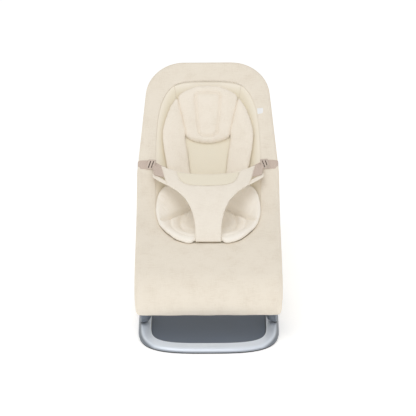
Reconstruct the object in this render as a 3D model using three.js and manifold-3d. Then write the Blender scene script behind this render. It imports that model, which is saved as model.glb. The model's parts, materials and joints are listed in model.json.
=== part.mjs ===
// Baby bouncer seat: a fabric sling on a sprung tube frame, pivoting in two side hubs on a low base.
//
// Units are millimetres and +Z is up. Y runs from the foot end (the base's front edge at Y = 0) to the
// head end, and X runs across. The whole group is shifted at the end, so that the origin is on the floor
// in the middle of the overall length. Pieces named _right are at +X, and _left ones are their mirror.

import * as THREE from 'three';
import { mergeVertices } from 'three/addons/utils/BufferGeometryUtils.js';
import Module from 'manifold-3d';

const wasm = await Module();
wasm.setup();

// ---------------------------------------------------------------- driving dimensions

const degrees = Math.PI / 180;
const gap = 0.3; // between pieces that touch
const overallLength = 776;

const tube = { radius: 8, bore: 6.4 };
const hub = { x: 183.25, y: 172, z: 50, radius: 34.5, face: 199.6, depth: 33.6 };
const nose = { y: 117, z: 146.6, radius: 62, armAngle: 243.5, topAngle: 110, hemAngle: 235 };
const seatCurve = { rise: [255.5, 263], dip: [353, 235], end: [460, 325] };
const back = { slope: 40, length: 399.5, taper: 5.2, taperFrom: 40, cornerRadius: 105, crown: 3 };
const frameHalfWidth = 200.5;
const armSplit = { recliningEnd: 225, seatStart: 219 }; // nose angles on either side of the bounce gap

const base = { halfWidth: 202, noseDepth: 155, power: 3.1, armEnd: 300, rimTop: 16, wall: 40.5 };
const plate = { clearance: 0.4, bottom: 6.1, top: 12.5, back: 250 };
const loop = { x: 181, z: 12.5, radius: 9, bore: 7.4, start: 322, rear: 620, corner: 100 };

const cover = { inset: 9.5, low: 6.5, high: 9.5 };
const oval = { front: 222, headEnd: 351, halfWidth: 157, power: 2.6 };
const bucket = { hipDepth: 75, headDepth: 30, hip: -0.42, hipSpread: 0.55, thickness: 2.5, edgeLift: 8 };

const bib = { hingeY: 226, hingeZ: 257, thickness: 8, reach: 50 };
const strap = { along: 60, width: 24, thickness: 2, wrapRadius: 10.7 };

// ---------------------------------------------------------------- materials

const paint = (color, roughness, metalness = 0) =>
  new THREE.MeshStandardMaterial({ color, roughness, metalness });

const look = {
  silver: paint(0xcbd0d4, 0.35, 0.8),
  slate: paint(0x5e6671, 0.5),
  graphite: paint(0x7d828b, 0.45),
  rubber: paint(0x2c2f33, 0.8),
  steel: paint(0xa5a9ad, 0.35, 0.9),
  cream: paint(0xe8decf, 0.95),
  mesh: paint(0xe9e0cc, 0.9),
  quilt: paint(0xebe1d5, 0.95),
  webbing: paint(0xd3c2b4, 0.85),
  buckle: paint(0xc8b8aa, 0.45),
  label: paint(0xf7f5f1, 0.8),
};

// ---------------------------------------------------------------- making solids

// Welds a geometry's corners, drops collapsed triangles and turns every face outwards.
function welded(geometry) {
  const bare = geometry.clone();
  bare.deleteAttribute('normal');
  bare.deleteAttribute('uv');
  const merged = mergeVertices(bare, 1e-4);
  const index = merged.index.array;
  const faces = [];
  for (let i = 0; i < index.length; i += 3) {
    const [a, b, c] = index.slice(i, i + 3);
    if (a !== b && b !== c && c !== a) faces.push([a, b, c]);
  }
  const inside = signedVolume(merged.attributes.position, faces) < 0;
  merged.setIndex(faces.flatMap(([a, b, c]) => (inside ? [a, c, b] : [a, b, c])));
  return merged;
}

function signedVolume(position, faces) {
  const corner = (i) => new THREE.Vector3().fromBufferAttribute(position, i);
  return faces.reduce((sum, [a, b, c]) => sum + corner(a).dot(corner(b).cross(corner(c))) / 6, 0);
}

function toManifold(geometry) {
  const shape = welded(geometry);
  return new wasm.Manifold(new wasm.Mesh({
    numProp: 3,
    vertProperties: new Float32Array(shape.attributes.position.array),
    triVerts: new Uint32Array(shape.index.array),
  }));
}

function fromManifold(manifold) {
  const mesh = manifold.getMesh();
  const geometry = new THREE.BufferGeometry();
  geometry.setAttribute('position', new THREE.BufferAttribute(mesh.vertProperties, 3));
  geometry.setIndex([...mesh.triVerts]);
  return geometry;
}

function cut(geometry, ...tools) {
  return fromManifold(tools.reduce((left, tool) => left.subtract(toManifold(tool)), toManifold(geometry)));
}

function join(geometry, ...others) {
  return fromManifold(others.reduce((sum, other) => sum.add(toManifold(other)), toManifold(geometry)));
}

function mirrored(geometry) {
  return welded(geometry.clone().scale(-1, 1, 1));
}

function closedSolid(points, faces) {
  const geometry = new THREE.BufferGeometry().setFromPoints(points);
  geometry.setIndex(faces.flat());
  return geometry;
}

function quad(a, b, c, d) {
  return [a, b, c, a, c, d];
}

// A rectangular sheet with thickness: upper and lower give the points at row i and column j.
function slab(rows, columns, upper, lower) {
  const at = (i, j, side) => side * (rows + 1) * (columns + 1) + i * (columns + 1) + j;
  const points = [];
  const faces = [];
  for (const sheet of [upper, lower]) {
    for (let i = 0; i <= rows; i++) {
      for (let j = 0; j <= columns; j++) points.push(sheet(i / rows, j / columns));
    }
  }
  for (let i = 0; i < rows; i++) {
    for (let j = 0; j < columns; j++) {
      faces.push(quad(at(i, j, 0), at(i, j + 1, 0), at(i + 1, j + 1, 0), at(i + 1, j, 0)));
      faces.push(quad(at(i, j, 1), at(i + 1, j, 1), at(i + 1, j + 1, 1), at(i, j + 1, 1)));
    }
  }
  for (let j = 0; j < columns; j++) {
    faces.push(quad(at(0, j, 0), at(0, j, 1), at(0, j + 1, 1), at(0, j + 1, 0)));
    faces.push(quad(at(rows, j, 0), at(rows, j + 1, 0), at(rows, j + 1, 1), at(rows, j, 1)));
  }
  for (let i = 0; i < rows; i++) {
    faces.push(quad(at(i, 0, 0), at(i + 1, 0, 0), at(i + 1, 0, 1), at(i, 0, 1)));
    faces.push(quad(at(i, columns, 0), at(i, columns, 1), at(i + 1, columns, 1), at(i + 1, columns, 0)));
  }
  return closedSolid(points, faces);
}

// A round sheet with thickness: upper and lower give the points at a turn (0 to 1) and a reach (0 to 1).
function dish(spokes, rings, upper, lower) {
  const perSide = 1 + spokes * rings;
  const at = (k, r, side) => side * perSide + (r === 0 ? 0 : 1 + (r - 1) * spokes + (k % spokes));
  const points = [];
  const faces = [];
  for (const sheet of [upper, lower]) {
    points.push(sheet(0, 0));
    for (let r = 1; r <= rings; r++) {
      for (let k = 0; k < spokes; k++) points.push(sheet(k / spokes, r / rings));
    }
  }
  for (let k = 0; k < spokes; k++) {
    faces.push([at(0, 0, 0), at(k, 1, 0), at(k + 1, 1, 0)]);
    faces.push([at(0, 0, 1), at(k + 1, 1, 1), at(k, 1, 1)]);
    for (let r = 1; r < rings; r++) {
      faces.push(quad(at(k, r, 0), at(k, r + 1, 0), at(k + 1, r + 1, 0), at(k + 1, r, 0)));
      faces.push(quad(at(k, r, 1), at(k + 1, r, 1), at(k + 1, r + 1, 1), at(k, r + 1, 1)));
    }
    faces.push(quad(at(k, rings, 0), at(k, rings, 1), at(k + 1, rings, 1), at(k + 1, rings, 0)));
  }
  return closedSolid(points, faces);
}

// A flat section carried along stations: place gives the point of one section corner at one station.
function loft(stations, section, place) {
  const size = section.length;
  const corners = section.map(([a, b]) => new THREE.Vector2(a, b));
  const area = (list) => THREE.ShapeUtils.area(list);
  const sameTurn = (face) => area(face.map((i) => corners[i])) * area(corners) > 0;
  const lid = THREE.ShapeUtils.triangulateShape(corners, [])
    .map((face) => (sameTurn(face) ? face : [...face].reverse()));
  const points = stations.flatMap((station) => section.map(([a, b]) => place(station, a, b)));
  const last = (stations.length - 1) * size;
  const faces = lid.flatMap(([a, b, c]) => [[a, b, c], [last + a, last + c, last + b]]);
  for (let i = 0; i < stations.length - 1; i++) {
    for (let j = 0; j < size; j++) {
      const [near, far] = [i * size + j, i * size + ((j + 1) % size)];
      faces.push(quad(near, near + size, far + size, far));
    }
  }
  return closedSolid(points, faces);
}

function polygon(radius, sides) {
  const corners = Array.from({ length: sides }, (_, k) => 2 * Math.PI * (k / sides));
  return new THREE.Shape(corners.map((a) => new THREE.Vector2(radius * Math.cos(a), radius * Math.sin(a))));
}

function pipe(curve, steps, radius, bore = 0, sides = 12) {
  const section = polygon(radius, sides);
  if (bore) section.holes.push(polygon(bore, 6));
  return new THREE.ExtrudeGeometry(section, { steps, bevelEnabled: false, extrudePath: curve });
}

// A turned part whose axis is X: the profile is a list of [radius, x].
function turned(profile, segments = 28) {
  const points = profile.map(([radius, x]) => new THREE.Vector2(radius, x));
  return new THREE.LatheGeometry(points, segments).rotateZ(-Math.PI / 2);
}

function pin(radius, from, to, segments = 20) {
  return turned([[0, from], [radius, from], [radius, to], [0, to]], segments);
}

// Extrusions of an outline: [y, z] along X, and [x, z] along Y.
function alongX(shape, from, to) {
  const axes = new THREE.Matrix4().makeBasis(
    new THREE.Vector3(0, 1, 0), new THREE.Vector3(0, 0, 1), new THREE.Vector3(1, 0, 0));
  return new THREE.ExtrudeGeometry(shape, { depth: to - from, bevelEnabled: false, curveSegments: 10 })
    .applyMatrix4(axes).translate(from, 0, 0);
}

function alongY(shape, from, to) {
  const axes = new THREE.Matrix4().makeBasis(
    new THREE.Vector3(1, 0, 0), new THREE.Vector3(0, 0, 1), new THREE.Vector3(0, -1, 0));
  return new THREE.ExtrudeGeometry(shape, { depth: to - from, bevelEnabled: false, curveSegments: 10 })
    .applyMatrix4(axes).translate(0, to, 0);
}

function box(low, high) {
  const size = high.map((value, i) => value - low[i]);
  const centre = high.map((value, i) => (value + low[i]) / 2);
  return new THREE.BoxGeometry(...size).translate(...centre);
}

function outline(...points) {
  return new THREE.Shape(points.map(([a, b]) => new THREE.Vector2(a, b)));
}

// ---------------------------------------------------------------- the side profile of the frame

const direction = (angle) => new THREE.Vector2(Math.cos(angle * degrees), Math.sin(angle * degrees));
const nosePoint = (angle) =>
  direction(angle).multiplyScalar(nose.radius).add(new THREE.Vector2(nose.y, nose.z));

// Hub, straight arm, nose arc, seat curve, then the straight back: distances run along it from the hub.
const armEnd = nosePoint(nose.armAngle);
const noseTop = nosePoint(nose.topAngle);
const backDirection = direction(back.slope);
const headPoint = backDirection.clone().multiplyScalar(back.length + back.crown)
  .add(new THREE.Vector2(...seatCurve.end));
const profile = new THREE.CurvePath();
profile.add(new THREE.LineCurve(new THREE.Vector2(hub.y, hub.z), armEnd));
profile.add(new THREE.EllipseCurve(nose.y, nose.z, nose.radius, nose.radius,
  nose.armAngle * degrees, nose.topAngle * degrees, true));
profile.add(new THREE.CubicBezierCurve(noseTop, new THREE.Vector2(...seatCurve.rise),
  new THREE.Vector2(...seatCurve.dip), new THREE.Vector2(...seatCurve.end)));
profile.add(new THREE.LineCurve(new THREE.Vector2(...seatCurve.end), headPoint));
const profileLength = profile.getLength();
const [armLength, noseLength, seatLength] = profile.getCurveLengths();
const atNose = (angle) => armLength + (nose.armAngle - angle) * degrees * nose.radius;
const backStart = seatLength; // distance at which the straight back begins

function halfWidth(s) {
  const straightArm = 45;
  const front = atNose(180);
  const along = s - backStart;
  if (s < front) {
    const spread = Math.max(0, s - straightArm) / (front - straightArm);
    return hub.x + (frameHalfWidth - hub.x) * spread;
  }
  if (along < back.taperFrom) return frameHalfWidth;
  return frameHalfWidth - (along - back.taperFrom) * Math.tan(back.taper * degrees);
}

// The point at distance s along the frame, x across, and lift above the frame's own plane.
function onSling(s, x, lift) {
  const t = THREE.MathUtils.clamp(s / profileLength, 0, 1);
  const point = profile.getPoint(t);
  const along = profile.getTangent(t);
  return new THREE.Vector3(x, point.x - along.y * lift, point.y + along.x * lift);
}

// The corner arc at the head end joins the tapering sides to the top bar.
const cornerAlong = back.length - back.cornerRadius;
const cornerX = (() => {
  const reach = back.cornerRadius * Math.cos(back.taper * degrees);
  const along = cornerAlong + back.cornerRadius * Math.sin(back.taper * degrees);
  return halfWidth(backStart + along) - reach;
})();

function framePoints(fromAngle) {
  const points = [];
  const start = atNose(fromAngle);
  const straightEnd = backStart + cornerAlong;
  const steps = Math.ceil((straightEnd - start) / 14);
  for (let i = 0; i <= steps; i++) {
    const s = start + (straightEnd - start) * (i / steps);
    points.push(onSling(s, halfWidth(s), 0));
  }
  for (let angle = 14; angle <= 90; angle += 9.5) {
    const x = cornerX + back.cornerRadius * Math.cos(angle * degrees);
    const along = cornerAlong + back.cornerRadius * Math.sin(angle * degrees);
    points.push(onSling(backStart + along, x, 0));
  }
  for (const x of [0.6 * cornerX, 0.25 * cornerX]) {
    points.push(onSling(backStart + back.length + back.crown * (1 - (x / cornerX) ** 2), x, 0));
  }
  const left = points.map((p) => new THREE.Vector3(-p.x, p.y, p.z)).reverse();
  return [...points, ...left];
}

// ---------------------------------------------------------------- base

const rimCurve = (() => {
  const points = [];
  for (const y of [base.armEnd, 260, 225, 190]) points.push(new THREE.Vector2(base.halfWidth, y));
  for (let angle = 90; angle >= 0; angle -= 7.5) {
    const x = base.halfWidth * Math.sin(angle * degrees) ** (2 / base.power);
    const y = base.noseDepth * (1 - Math.abs(Math.cos(angle * degrees)) ** (2 / base.power));
    points.push(new THREE.Vector2(x, y));
  }
  const left = points.slice(0, -1).map((p) => new THREE.Vector2(-p.x, p.y)).reverse();
  return new THREE.SplineCurve([...points, ...left]);
})();

function rimStations(count, from = 0, to = 1) {
  return Array.from({ length: count + 1 }, (_, i) => {
    const t = from + (to - from) * (i / count);
    const point = rimCurve.getPointAt(t);
    const along = rimCurve.getTangentAt(t);
    return { point, inward: new THREE.Vector2(along.y, -along.x) };
  });
}

const atRim = (station, inset, z) => new THREE.Vector3(
  station.point.x + station.inward.x * inset, station.point.y + station.inward.y * inset, z);

const screwPlaces = [[138, 120], [70, 52], [-70, 52], [-138, 120]];

function screwHole(radius, [x, y], from, to) {
  return new THREE.CylinderGeometry(radius, radius, to - from, 16)
    .rotateX(Math.PI / 2).translate(x, y, (from + to) / 2);
}

function baseRim() {
  const section = [[0, 3.5], [1.5, 7.5], [6, 12.5], [11.5, 15], [40, 16], [base.wall, 15],
    [base.wall, 5.8], [52, 5.8], [52, 3.5]];
  const rim = loft(rimStations(48), section, atRim);
  const pockets = [1, -1].map((side) => {
    const [inner, outer] = [163.7, 195.3].map((x) => side * x);
    return box([Math.min(inner, outer), 279, 5.2], [Math.max(inner, outer), 301, 12.3]);
  });
  const holes = screwPlaces.map((place) => screwHole(1.9, place, 2, 8));
  return cut(rim, ...pockets, ...holes);
}

function footPlate() {
  const edge = rimStations(48).map((station) => atRim(station, base.wall + plate.clearance, 0))
    .filter((p) => p.y < plate.back);
  const right = [Math.abs(edge[0].x), plate.back];
  const shape = outline(right, ...edge.map((p) => [p.x, p.y]), [-right[0], plate.back]);
  const solid = new THREE.ExtrudeGeometry(shape, { depth: plate.top - plate.bottom, bevelEnabled: false })
    .translate(0, 0, plate.bottom);
  return cut(solid, ...screwPlaces.map((place) => screwHole(1.7, place, plate.bottom - 1, 11)));
}

function frontGrip() {
  const strip = [[2, 0], [36, 0], [36, 3.2], [2, 3.2]];
  return loft(rimStations(36, 0.12, 0.88), strip, atRim);
}

function plateScrew([x, y]) {
  const shape = [[0, 1.2], [3, 1.2], [3, 3.2], [1.4, 3.2], [1.4, 10.6], [0, 10.6]];
  const points = shape.map(([radius, z]) => new THREE.Vector2(radius, z));
  return new THREE.LatheGeometry(points, 16).rotateX(Math.PI / 2).translate(x, y, 0);
}

function rimEndSocket() {
  const [left, right, top, soft] = [159, 204, 23, 5];
  const shape = outline([left, 3.5], [right - 2, 3.5], [right, 8], [right - 4, top - soft],
    [right - 12, top], [left + soft, top], [left, top - soft]);
  const body = alongY(shape, base.armEnd + gap, 350);
  const tongue = box([164, 279.5, 5.5], [195, base.armEnd + 2, 12]);
  const hole = polygon(loop.radius + gap, 24);
  const bore = alongY(hole, loop.start - 0.5, 352).translate(loop.x, 0, loop.z);
  return cut(join(body, tongue), bore);
}

function rearLoop() {
  const points = [];
  const turnStart = loop.rear - loop.corner;
  for (let y = loop.start; y < turnStart - 5; y += 24) points.push(new THREE.Vector3(loop.x, y, loop.z));
  for (let angle = 0; angle <= 90; angle += 11.25) {
    const bend = direction(angle).multiplyScalar(loop.corner);
    points.push(new THREE.Vector3(loop.x - loop.corner + bend.x, turnStart + bend.y, loop.z));
  }
  points.push(new THREE.Vector3(40, loop.rear, loop.z));
  const left = points.map((p) => new THREE.Vector3(-p.x, p.y, p.z)).reverse();
  const curve = new THREE.CatmullRomCurve3([...points, ...left], false, 'centripetal');
  return pipe(curve, 40, loop.radius, loop.bore, 8);
}

function rearFoot() {
  const wall = 12;
  const shape = new THREE.Shape();
  shape.moveTo(-wall, 0);
  shape.lineTo(wall, 0);
  shape.lineTo(wall, loop.z);
  shape.lineTo(loop.radius + gap, loop.z);
  shape.absarc(0, loop.z, loop.radius + gap, 0, -Math.PI, true);
  shape.lineTo(-wall, loop.z);
  return alongX(shape, 30, 80).translate(0, loop.rear, 0);
}

// ---------------------------------------------------------------- hub, with its parts on the hub's axis

const armAngle = THREE.MathUtils.radToDeg(Math.atan2(armEnd.y - hub.z, armEnd.x - hub.y));
const slot = { inner: 174.5, outer: 192.5, radius: 27.5 };
const housingEnd = 191.9;
const spigot = { radius: 5.1, length: 20, middle: 30 }; // enters the lower arm's bore

const ballRadius = (x) =>
  hub.radius * (1 - ((hub.face - x) / hub.depth) ** oval.power) ** (1 / oval.power);

function sector(fromAngle, toAngle, radius) {
  const shape = new THREE.Shape();
  shape.moveTo(0, 0);
  shape.lineTo(radius * Math.cos(fromAngle * degrees), radius * Math.sin(fromAngle * degrees));
  shape.absarc(0, 0, radius, fromAngle * degrees, toAngle * degrees, false);
  return shape;
}

function hubHousing() {
  const inner = 168.5;
  const steps = Array.from({ length: 6 }, (_, i) => inner + (housingEnd - inner) * (i / 5));
  const ball = turned([[0, inner], ...steps.map((x) => [ballRadius(x), x]), [0, housingEnd]], 32);
  const foot = box([169, -24, base.rimTop + gap - hub.z], [190, 24, -14]);
  const swing = sector(armAngle - 60, armAngle + 19, 60);
  return cut(join(ball, foot), pin(slot.radius, slot.inner, slot.outer, 32),
    alongX(swing, slot.inner, slot.outer), pin(4.3, 160, 180));
}

function hubCover() {
  const rim = [[9, hub.face], [31.5, hub.face], [hub.radius, 196.8], [hub.radius, 192.2],
    [14, 192.2], [14, 196.6], [9, 196.6], [9, hub.face]];
  return turned(rim, 28);
}

function pivotBolt() {
  return turned([[0, 165.2], [6.5, 165.2], [6.5, 168.2], [4, 168.2], [4, 179.3], [6.5, 179.3],
    [6.5, 181.5], [0, 181.5]], 16);
}

function knuckle() {
  const ring = turned([[4.3, 174.8], [21, 174.8], [26, 180], [26, 191.7], [14, 191.7], [14, 179],
    [4.3, 179], [4.3, 174.8]], 32);
  const stub = new THREE.CylinderGeometry(spigot.radius, spigot.radius, spigot.length, 12)
    .translate(0, spigot.middle, 0).rotateX(armAngle * degrees).translate(hub.x, 0, 0);
  return join(ring, stub);
}

function lockGear() {
  const teeth = 16;
  const corners = Array.from({ length: teeth * 4 }, (_, i) => {
    const radius = i % 4 < 2 ? 13.6 : 12.2;
    const angle = 360 * (i / (teeth * 4));
    return direction(angle).multiplyScalar(radius);
  });
  return alongX(new THREE.Shape(corners), 188, 193);
}

function releaseButton() {
  return turned([[0, 193.3], [12, 193.3], [12, 196.3], [8.7, 196.3], [8.7, 199.8], [8, 200.5],
    [0, 200.5]], 28);
}

class Helix extends THREE.Curve {
  constructor(radius, from, to, turns) {
    super();
    Object.assign(this, { radius, from, to, turns });
  }

  getPoint(t, target = new THREE.Vector3()) {
    const angle = 2 * Math.PI * this.turns * t;
    return target.set(this.from + (this.to - this.from) * t,
      this.radius * Math.cos(angle), this.radius * Math.sin(angle));
  }
}

function returnSpring() {
  return pipe(new Helix(10, 180.2, 187, 2.5), 24, 0.6, 0, 4);
}

// ---------------------------------------------------------------- frame tubes

function lowerArm() {
  const [from, to] = [27, atNose(armSplit.recliningEnd)];
  const points = Array.from({ length: 12 }, (_, i) => {
    const s = from + (to - from) * (i / 11);
    return onSling(s, halfWidth(s), 0);
  });
  return pipe(new THREE.CatmullRomCurve3(points), 10, tube.radius, tube.bore);
}

function upperFrameTube() {
  const curve = new THREE.CatmullRomCurve3(framePoints(armSplit.seatStart), false, 'centripetal');
  return pipe(curve, 84, tube.radius, tube.bore, 8);
}

function frontCrossbar() {
  const angle = 213;
  const centre = nosePoint(angle);
  const end = halfWidth(atNose(angle)) - tube.radius - 0.8;
  return pin(5.5, -end, end, 12).translate(0, centre.x, centre.y);
}

// ---------------------------------------------------------------- sling: cover and mesh bucket

function coverHalfWidth(s) {
  const beyond = s - backStart - cornerAlong;
  const radius = back.cornerRadius - cover.inset;
  if (beyond < radius * Math.sin(back.taper * degrees)) return halfWidth(s) - cover.inset;
  return cornerX + Math.sqrt(Math.max(0, radius ** 2 - beyond ** 2));
}

// The oval of the bucket, in distance along the frame and across it.
const ovalFront = (() => {
  let s = atNose(nose.topAngle);
  while (onSling(s, 0, 0).y < oval.front) s += 1;
  return s;
})();
const ovalHead = backStart + oval.headEnd;
const ovalCentre = (ovalFront + ovalHead) / 2;
const ovalHalfLength = (ovalHead - ovalFront) / 2;

function ovalPoint(turn, reach, grow = 0) {
  const angle = 2 * Math.PI * turn;
  const round = (value) => Math.sign(value) * Math.abs(value) ** (2 / oval.power);
  return {
    s: ovalCentre + reach * (ovalHalfLength + grow) * round(Math.cos(angle)),
    x: reach * (oval.halfWidth + grow) * round(Math.sin(angle)),
  };
}

// How far the bucket's upper face lies above the frame's plane (below it when negative).
function bucketLift(s, x) {
  const along = (s - ovalCentre) / ovalHalfLength;
  const reach = (Math.abs(along) ** oval.power + Math.abs(x / oval.halfWidth) ** oval.power)
    ** (1 / oval.power);
  const hip = Math.exp(-(((along - bucket.hip) / bucket.hipSpread) ** 2));
  const depth = bucket.headDepth + (bucket.hipDepth - bucket.headDepth) * hip;
  return bucket.edgeLift - depth * (1 - Math.min(1, reach) ** 2.6);
}

// Rows of the cover: evenly along the sides, then by angle round the corners at the head end.
function coverRow(u) {
  const straightRows = 0.82;
  const hem = atNose(nose.hemAngle);
  const straightEnd = backStart + cornerAlong;
  if (u < straightRows) return hem + (straightEnd - hem) * (u / straightRows) ** 1.15;
  const angle = 90 * degrees * ((u - straightRows) / (1 - straightRows));
  return straightEnd + (back.cornerRadius - cover.inset) * Math.sin(angle);
}

function seatCover() {
  const sheet = (lift) => (u, v) => {
    const s = coverRow(u);
    return onSling(s, (2 * v - 1) * coverHalfWidth(s), lift);
  };
  const panel = slab(40, 6, sheet(cover.high), sheet(cover.low));
  const plug = (lift) => (turn, reach) => {
    const { s, x } = ovalPoint(turn, reach, 1);
    return onSling(s, x, lift);
  };
  return cut(panel, dish(36, 4, plug(cover.high + 6), plug(cover.low - 6)));
}

function meshBucket() {
  const sheet = (drop) => (turn, reach) => {
    const { s, x } = ovalPoint(turn, reach ** 0.8);
    return onSling(s, x, bucketLift(s, x) - drop);
  };
  return dish(36, 5, sheet(0), sheet(bucket.thickness));
}

function sideTag() {
  const [along, x, size] = [242, 158, 21];
  const sheet = (lift) => (u, v) =>
    onSling(backStart + along + size * (u - 0.5), x + size * (v - 0.5), lift);
  return slab(1, 1, sheet(cover.high + 1.3), sheet(cover.high + 0.4));
}

// ---------------------------------------------------------------- padded insert

// A pad lying in the bucket. Its outline is a list of [distance along the back, x] around a centre, and
// it is as thick as edge at the outline and as thick as middle over its centre.
function padIn(corners, centre, edge, middle, clearance = 2.5) {
  const rim = new THREE.CatmullRomCurve3(corners.map(([a, x]) => new THREE.Vector3(a, x, 0)), true);
  const place = (turn, reach) => {
    const corner = rim.getPointAt(turn % 1);
    return {
      s: backStart + centre[0] + (corner.x - centre[0]) * reach,
      x: centre[1] + (corner.y - centre[1]) * reach,
    };
  };
  const sheet = (thickness) => (turn, reach) => {
    const { s, x } = place(turn, reach);
    return onSling(s, x, bucketLift(s, x) + clearance + thickness(reach));
  };
  return dish(24, 4, sheet((reach) => edge + (middle - edge) * (1 - reach ** 3)), sheet(() => 0));
}

const bothSides = (corners) => [...corners, ...corners.map(([a, x]) => [a, -x]).reverse()];

function headPillow() {
  const corners = bothSides([[338, 22], [322, 62], [296, 88], [262, 84], [192, 64], [172, 30]]);
  return padIn(corners, [262, 0], 8, 24);
}

function insertWing() {
  const corners = [[22, 57], [70, 57], [180, 70], [250, 86], [284, 94], [268, 118], [180, 136], [100, 131],
    [30, 116]];
  return padIn(corners, [135, 98], 6, 20);
}

function insertMeshPanel() {
  return padIn(bothSides([[164, 26], [158, 60], [70, 50], [24, 50], [22, 18]]), [95, 0], 3, 4);
}

function seatPad() {
  const corners = bothSides([[16, 30], [12, 112], [-30, 140], [-80, 146], [-140, 128], [-190, 92],
    [-214, 40]]);
  return padIn(corners, [-95, 0], 6, 18, 5.5);
}

// ---------------------------------------------------------------- harness

const bibCentreLine = new THREE.QuadraticBezierCurve(new THREE.Vector2(bib.hingeY, bib.hingeZ),
  new THREE.Vector2(310, 338), new THREE.Vector2(440, 367));

// Half-widths of the bib at heights from the crotch (0) to the top edge (1).
const bibWidths = new THREE.SplineCurve([[0, 41], [0.21, 39], [0.37, 44], [0.49, 52], [0.6, 64], [0.7, 88],
  [0.77, 119], [0.88, 131], [1, 140]].map(([u, w]) => new THREE.Vector2(u, w)));

function bibHalfWidth(u) {
  let low = 0;
  let high = 1;
  for (let i = 0; i < 24; i++) {
    const middle = (low + high) / 2;
    if (bibWidths.getPoint(middle).x < u) low = middle;
    else high = middle;
  }
  return bibWidths.getPoint(low).y;
}

function onBib(u, x, lift) {
  const point = bibCentreLine.getPoint(u);
  const along = bibCentreLine.getTangent(u);
  const wrap = bib.reach * (x / 140) ** 2;
  return new THREE.Vector3(x, point.x + wrap * u - along.y * lift, point.y + along.x * lift);
}

function bibPanel() {
  const sheet = (side) => (u, v) => {
    const edge = 1 - 0.6 * Math.abs(2 * v - 1) ** 4;
    return onBib(u, (2 * v - 1) * bibHalfWidth(u), side * (bib.thickness / 2) * edge);
  };
  return slab(16, 8, sheet(1), sheet(-1));
}

// A keeper of stiff webbing on the bib's end, tapering towards the bib and lapping over the adjuster.
function bibKeeper() {
  const sheet = (rise) => (u, v) => {
    const x = 122 + 38 * u;
    const lift = rise + bib.thickness / 2 + 6 * u;
    const [low, high] = [0.83 - 0.02 * u, 0.87 + 0.12 * u];
    return onBib(low + (high - low) * v, x, lift);
  };
  return slab(4, 2, sheet(2.6), sheet(0.5));
}

// Carries a flat outline [x outwards from the tube, height above it] along the side tube.
function acrossTube(shape, from, to) {
  const s = backStart + strap.along;
  const centre = onSling(s, halfWidth(s), 0);
  const up = onSling(s, halfWidth(s), 1).sub(centre);
  const outward = new THREE.Vector3(1, 0, 0);
  const along = new THREE.Vector3().crossVectors(outward, up);
  const place = new THREE.Matrix4().makeBasis(outward, up, along).setPosition(centre);
  return new THREE.ExtrudeGeometry(shape, { depth: to - from, bevelEnabled: false, curveSegments: 12 })
    .translate(0, 0, from).applyMatrix4(place);
}

function strapLoop() {
  const inner = strap.wrapRadius;
  const outer = inner + strap.thickness;
  const [underEnd, lead] = [-150 * degrees, -13];
  const shape = new THREE.Shape();
  shape.moveTo(lead, inner);
  shape.lineTo(0, inner);
  shape.absarc(0, 0, inner, Math.PI / 2, underEnd, true);
  shape.lineTo(outer * Math.cos(underEnd), outer * Math.sin(underEnd));
  shape.absarc(0, 0, outer, underEnd, Math.PI / 2, false);
  shape.lineTo(lead, outer);
  return acrossTube(shape, -strap.width / 2, strap.width / 2);
}

// A flat frame with two slots for the webbing, lying across the cover beside the tube.
function strapAdjuster() {
  const s = backStart + strap.along;
  const centre = onSling(s, halfWidth(s), 0);
  const up = onSling(s, halfWidth(s), 1).sub(centre);
  const along = new THREE.Vector3().crossVectors(up, new THREE.Vector3(1, 0, 0));
  const shape = outline([-15, -15], [-40, -11], [-40, 11], [-15, 15]);
  for (const [x, half] of [[-24, 9], [-35, 7.5]]) {
    shape.holes.push(outline([x, -half], [x + 4, -half], [x + 6, half], [x + 2, half]));
  }
  const place = new THREE.Matrix4().makeBasis(new THREE.Vector3(1, 0, 0), along, up.negate());
  const [low, high] = [10.3, 13.8];
  return new THREE.ExtrudeGeometry(shape, { depth: high - low, bevelEnabled: false })
    .translate(0, 0, -high).applyMatrix4(place.setPosition(centre));
}

// ---------------------------------------------------------------- assembly

const bouncer = new THREE.Group();
bouncer.name = 'bouncer_seat';
bouncer.position.set(0, -overallLength / 2, 0);
const hubs = new THREE.Group(); // its pieces are drawn about the hub's axis
hubs.position.set(0, hub.y, hub.z);
bouncer.add(hubs);

function add(name, geometry, material, parent = bouncer) {
  const mesh = new THREE.Mesh(welded(geometry), material);
  mesh.name = name;
  parent.add(mesh);
}

function addPair(name, geometry, material, parent = bouncer) {
  add(`${name}_right`, geometry, material, parent);
  add(`${name}_left`, mirrored(geometry), material, parent);
}

add('base_rim', baseRim(), look.silver);
add('foot_plate', footPlate(), look.slate);
add('front_grip', frontGrip(), look.rubber);
screwPlaces.forEach((place, i) => add(`plate_screw_${i + 1}`, plateScrew(place), look.steel));
addPair('rim_end_socket', rimEndSocket(), look.graphite);
add('rear_loop', rearLoop(), look.silver);
addPair('rear_foot', rearFoot(), look.rubber);

addPair('hub_housing', hubHousing(), look.graphite, hubs);
addPair('hub_cover', hubCover(), look.graphite, hubs);
addPair('pivot_bolt', pivotBolt(), look.steel, hubs);
addPair('knuckle', knuckle(), look.graphite, hubs);
addPair('lock_gear', lockGear(), look.steel, hubs);
addPair('return_spring', returnSpring(), look.steel, hubs);
addPair('release_button', releaseButton(), look.slate, hubs);

addPair('lower_arm', lowerArm(), look.silver);
add('upper_frame_tube', upperFrameTube(), look.silver);
add('front_crossbar', frontCrossbar(), look.steel);

add('seat_cover', seatCover(), look.cream);
add('mesh_bucket', meshBucket(), look.mesh);
add('side_tag', sideTag(), look.label);
add('seat_pad', seatPad(), look.quilt);
addPair('insert_wing', insertWing(), look.quilt);
add('insert_mesh_panel', insertMeshPanel(), look.mesh);
add('head_pillow', headPillow(), look.quilt);

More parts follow.
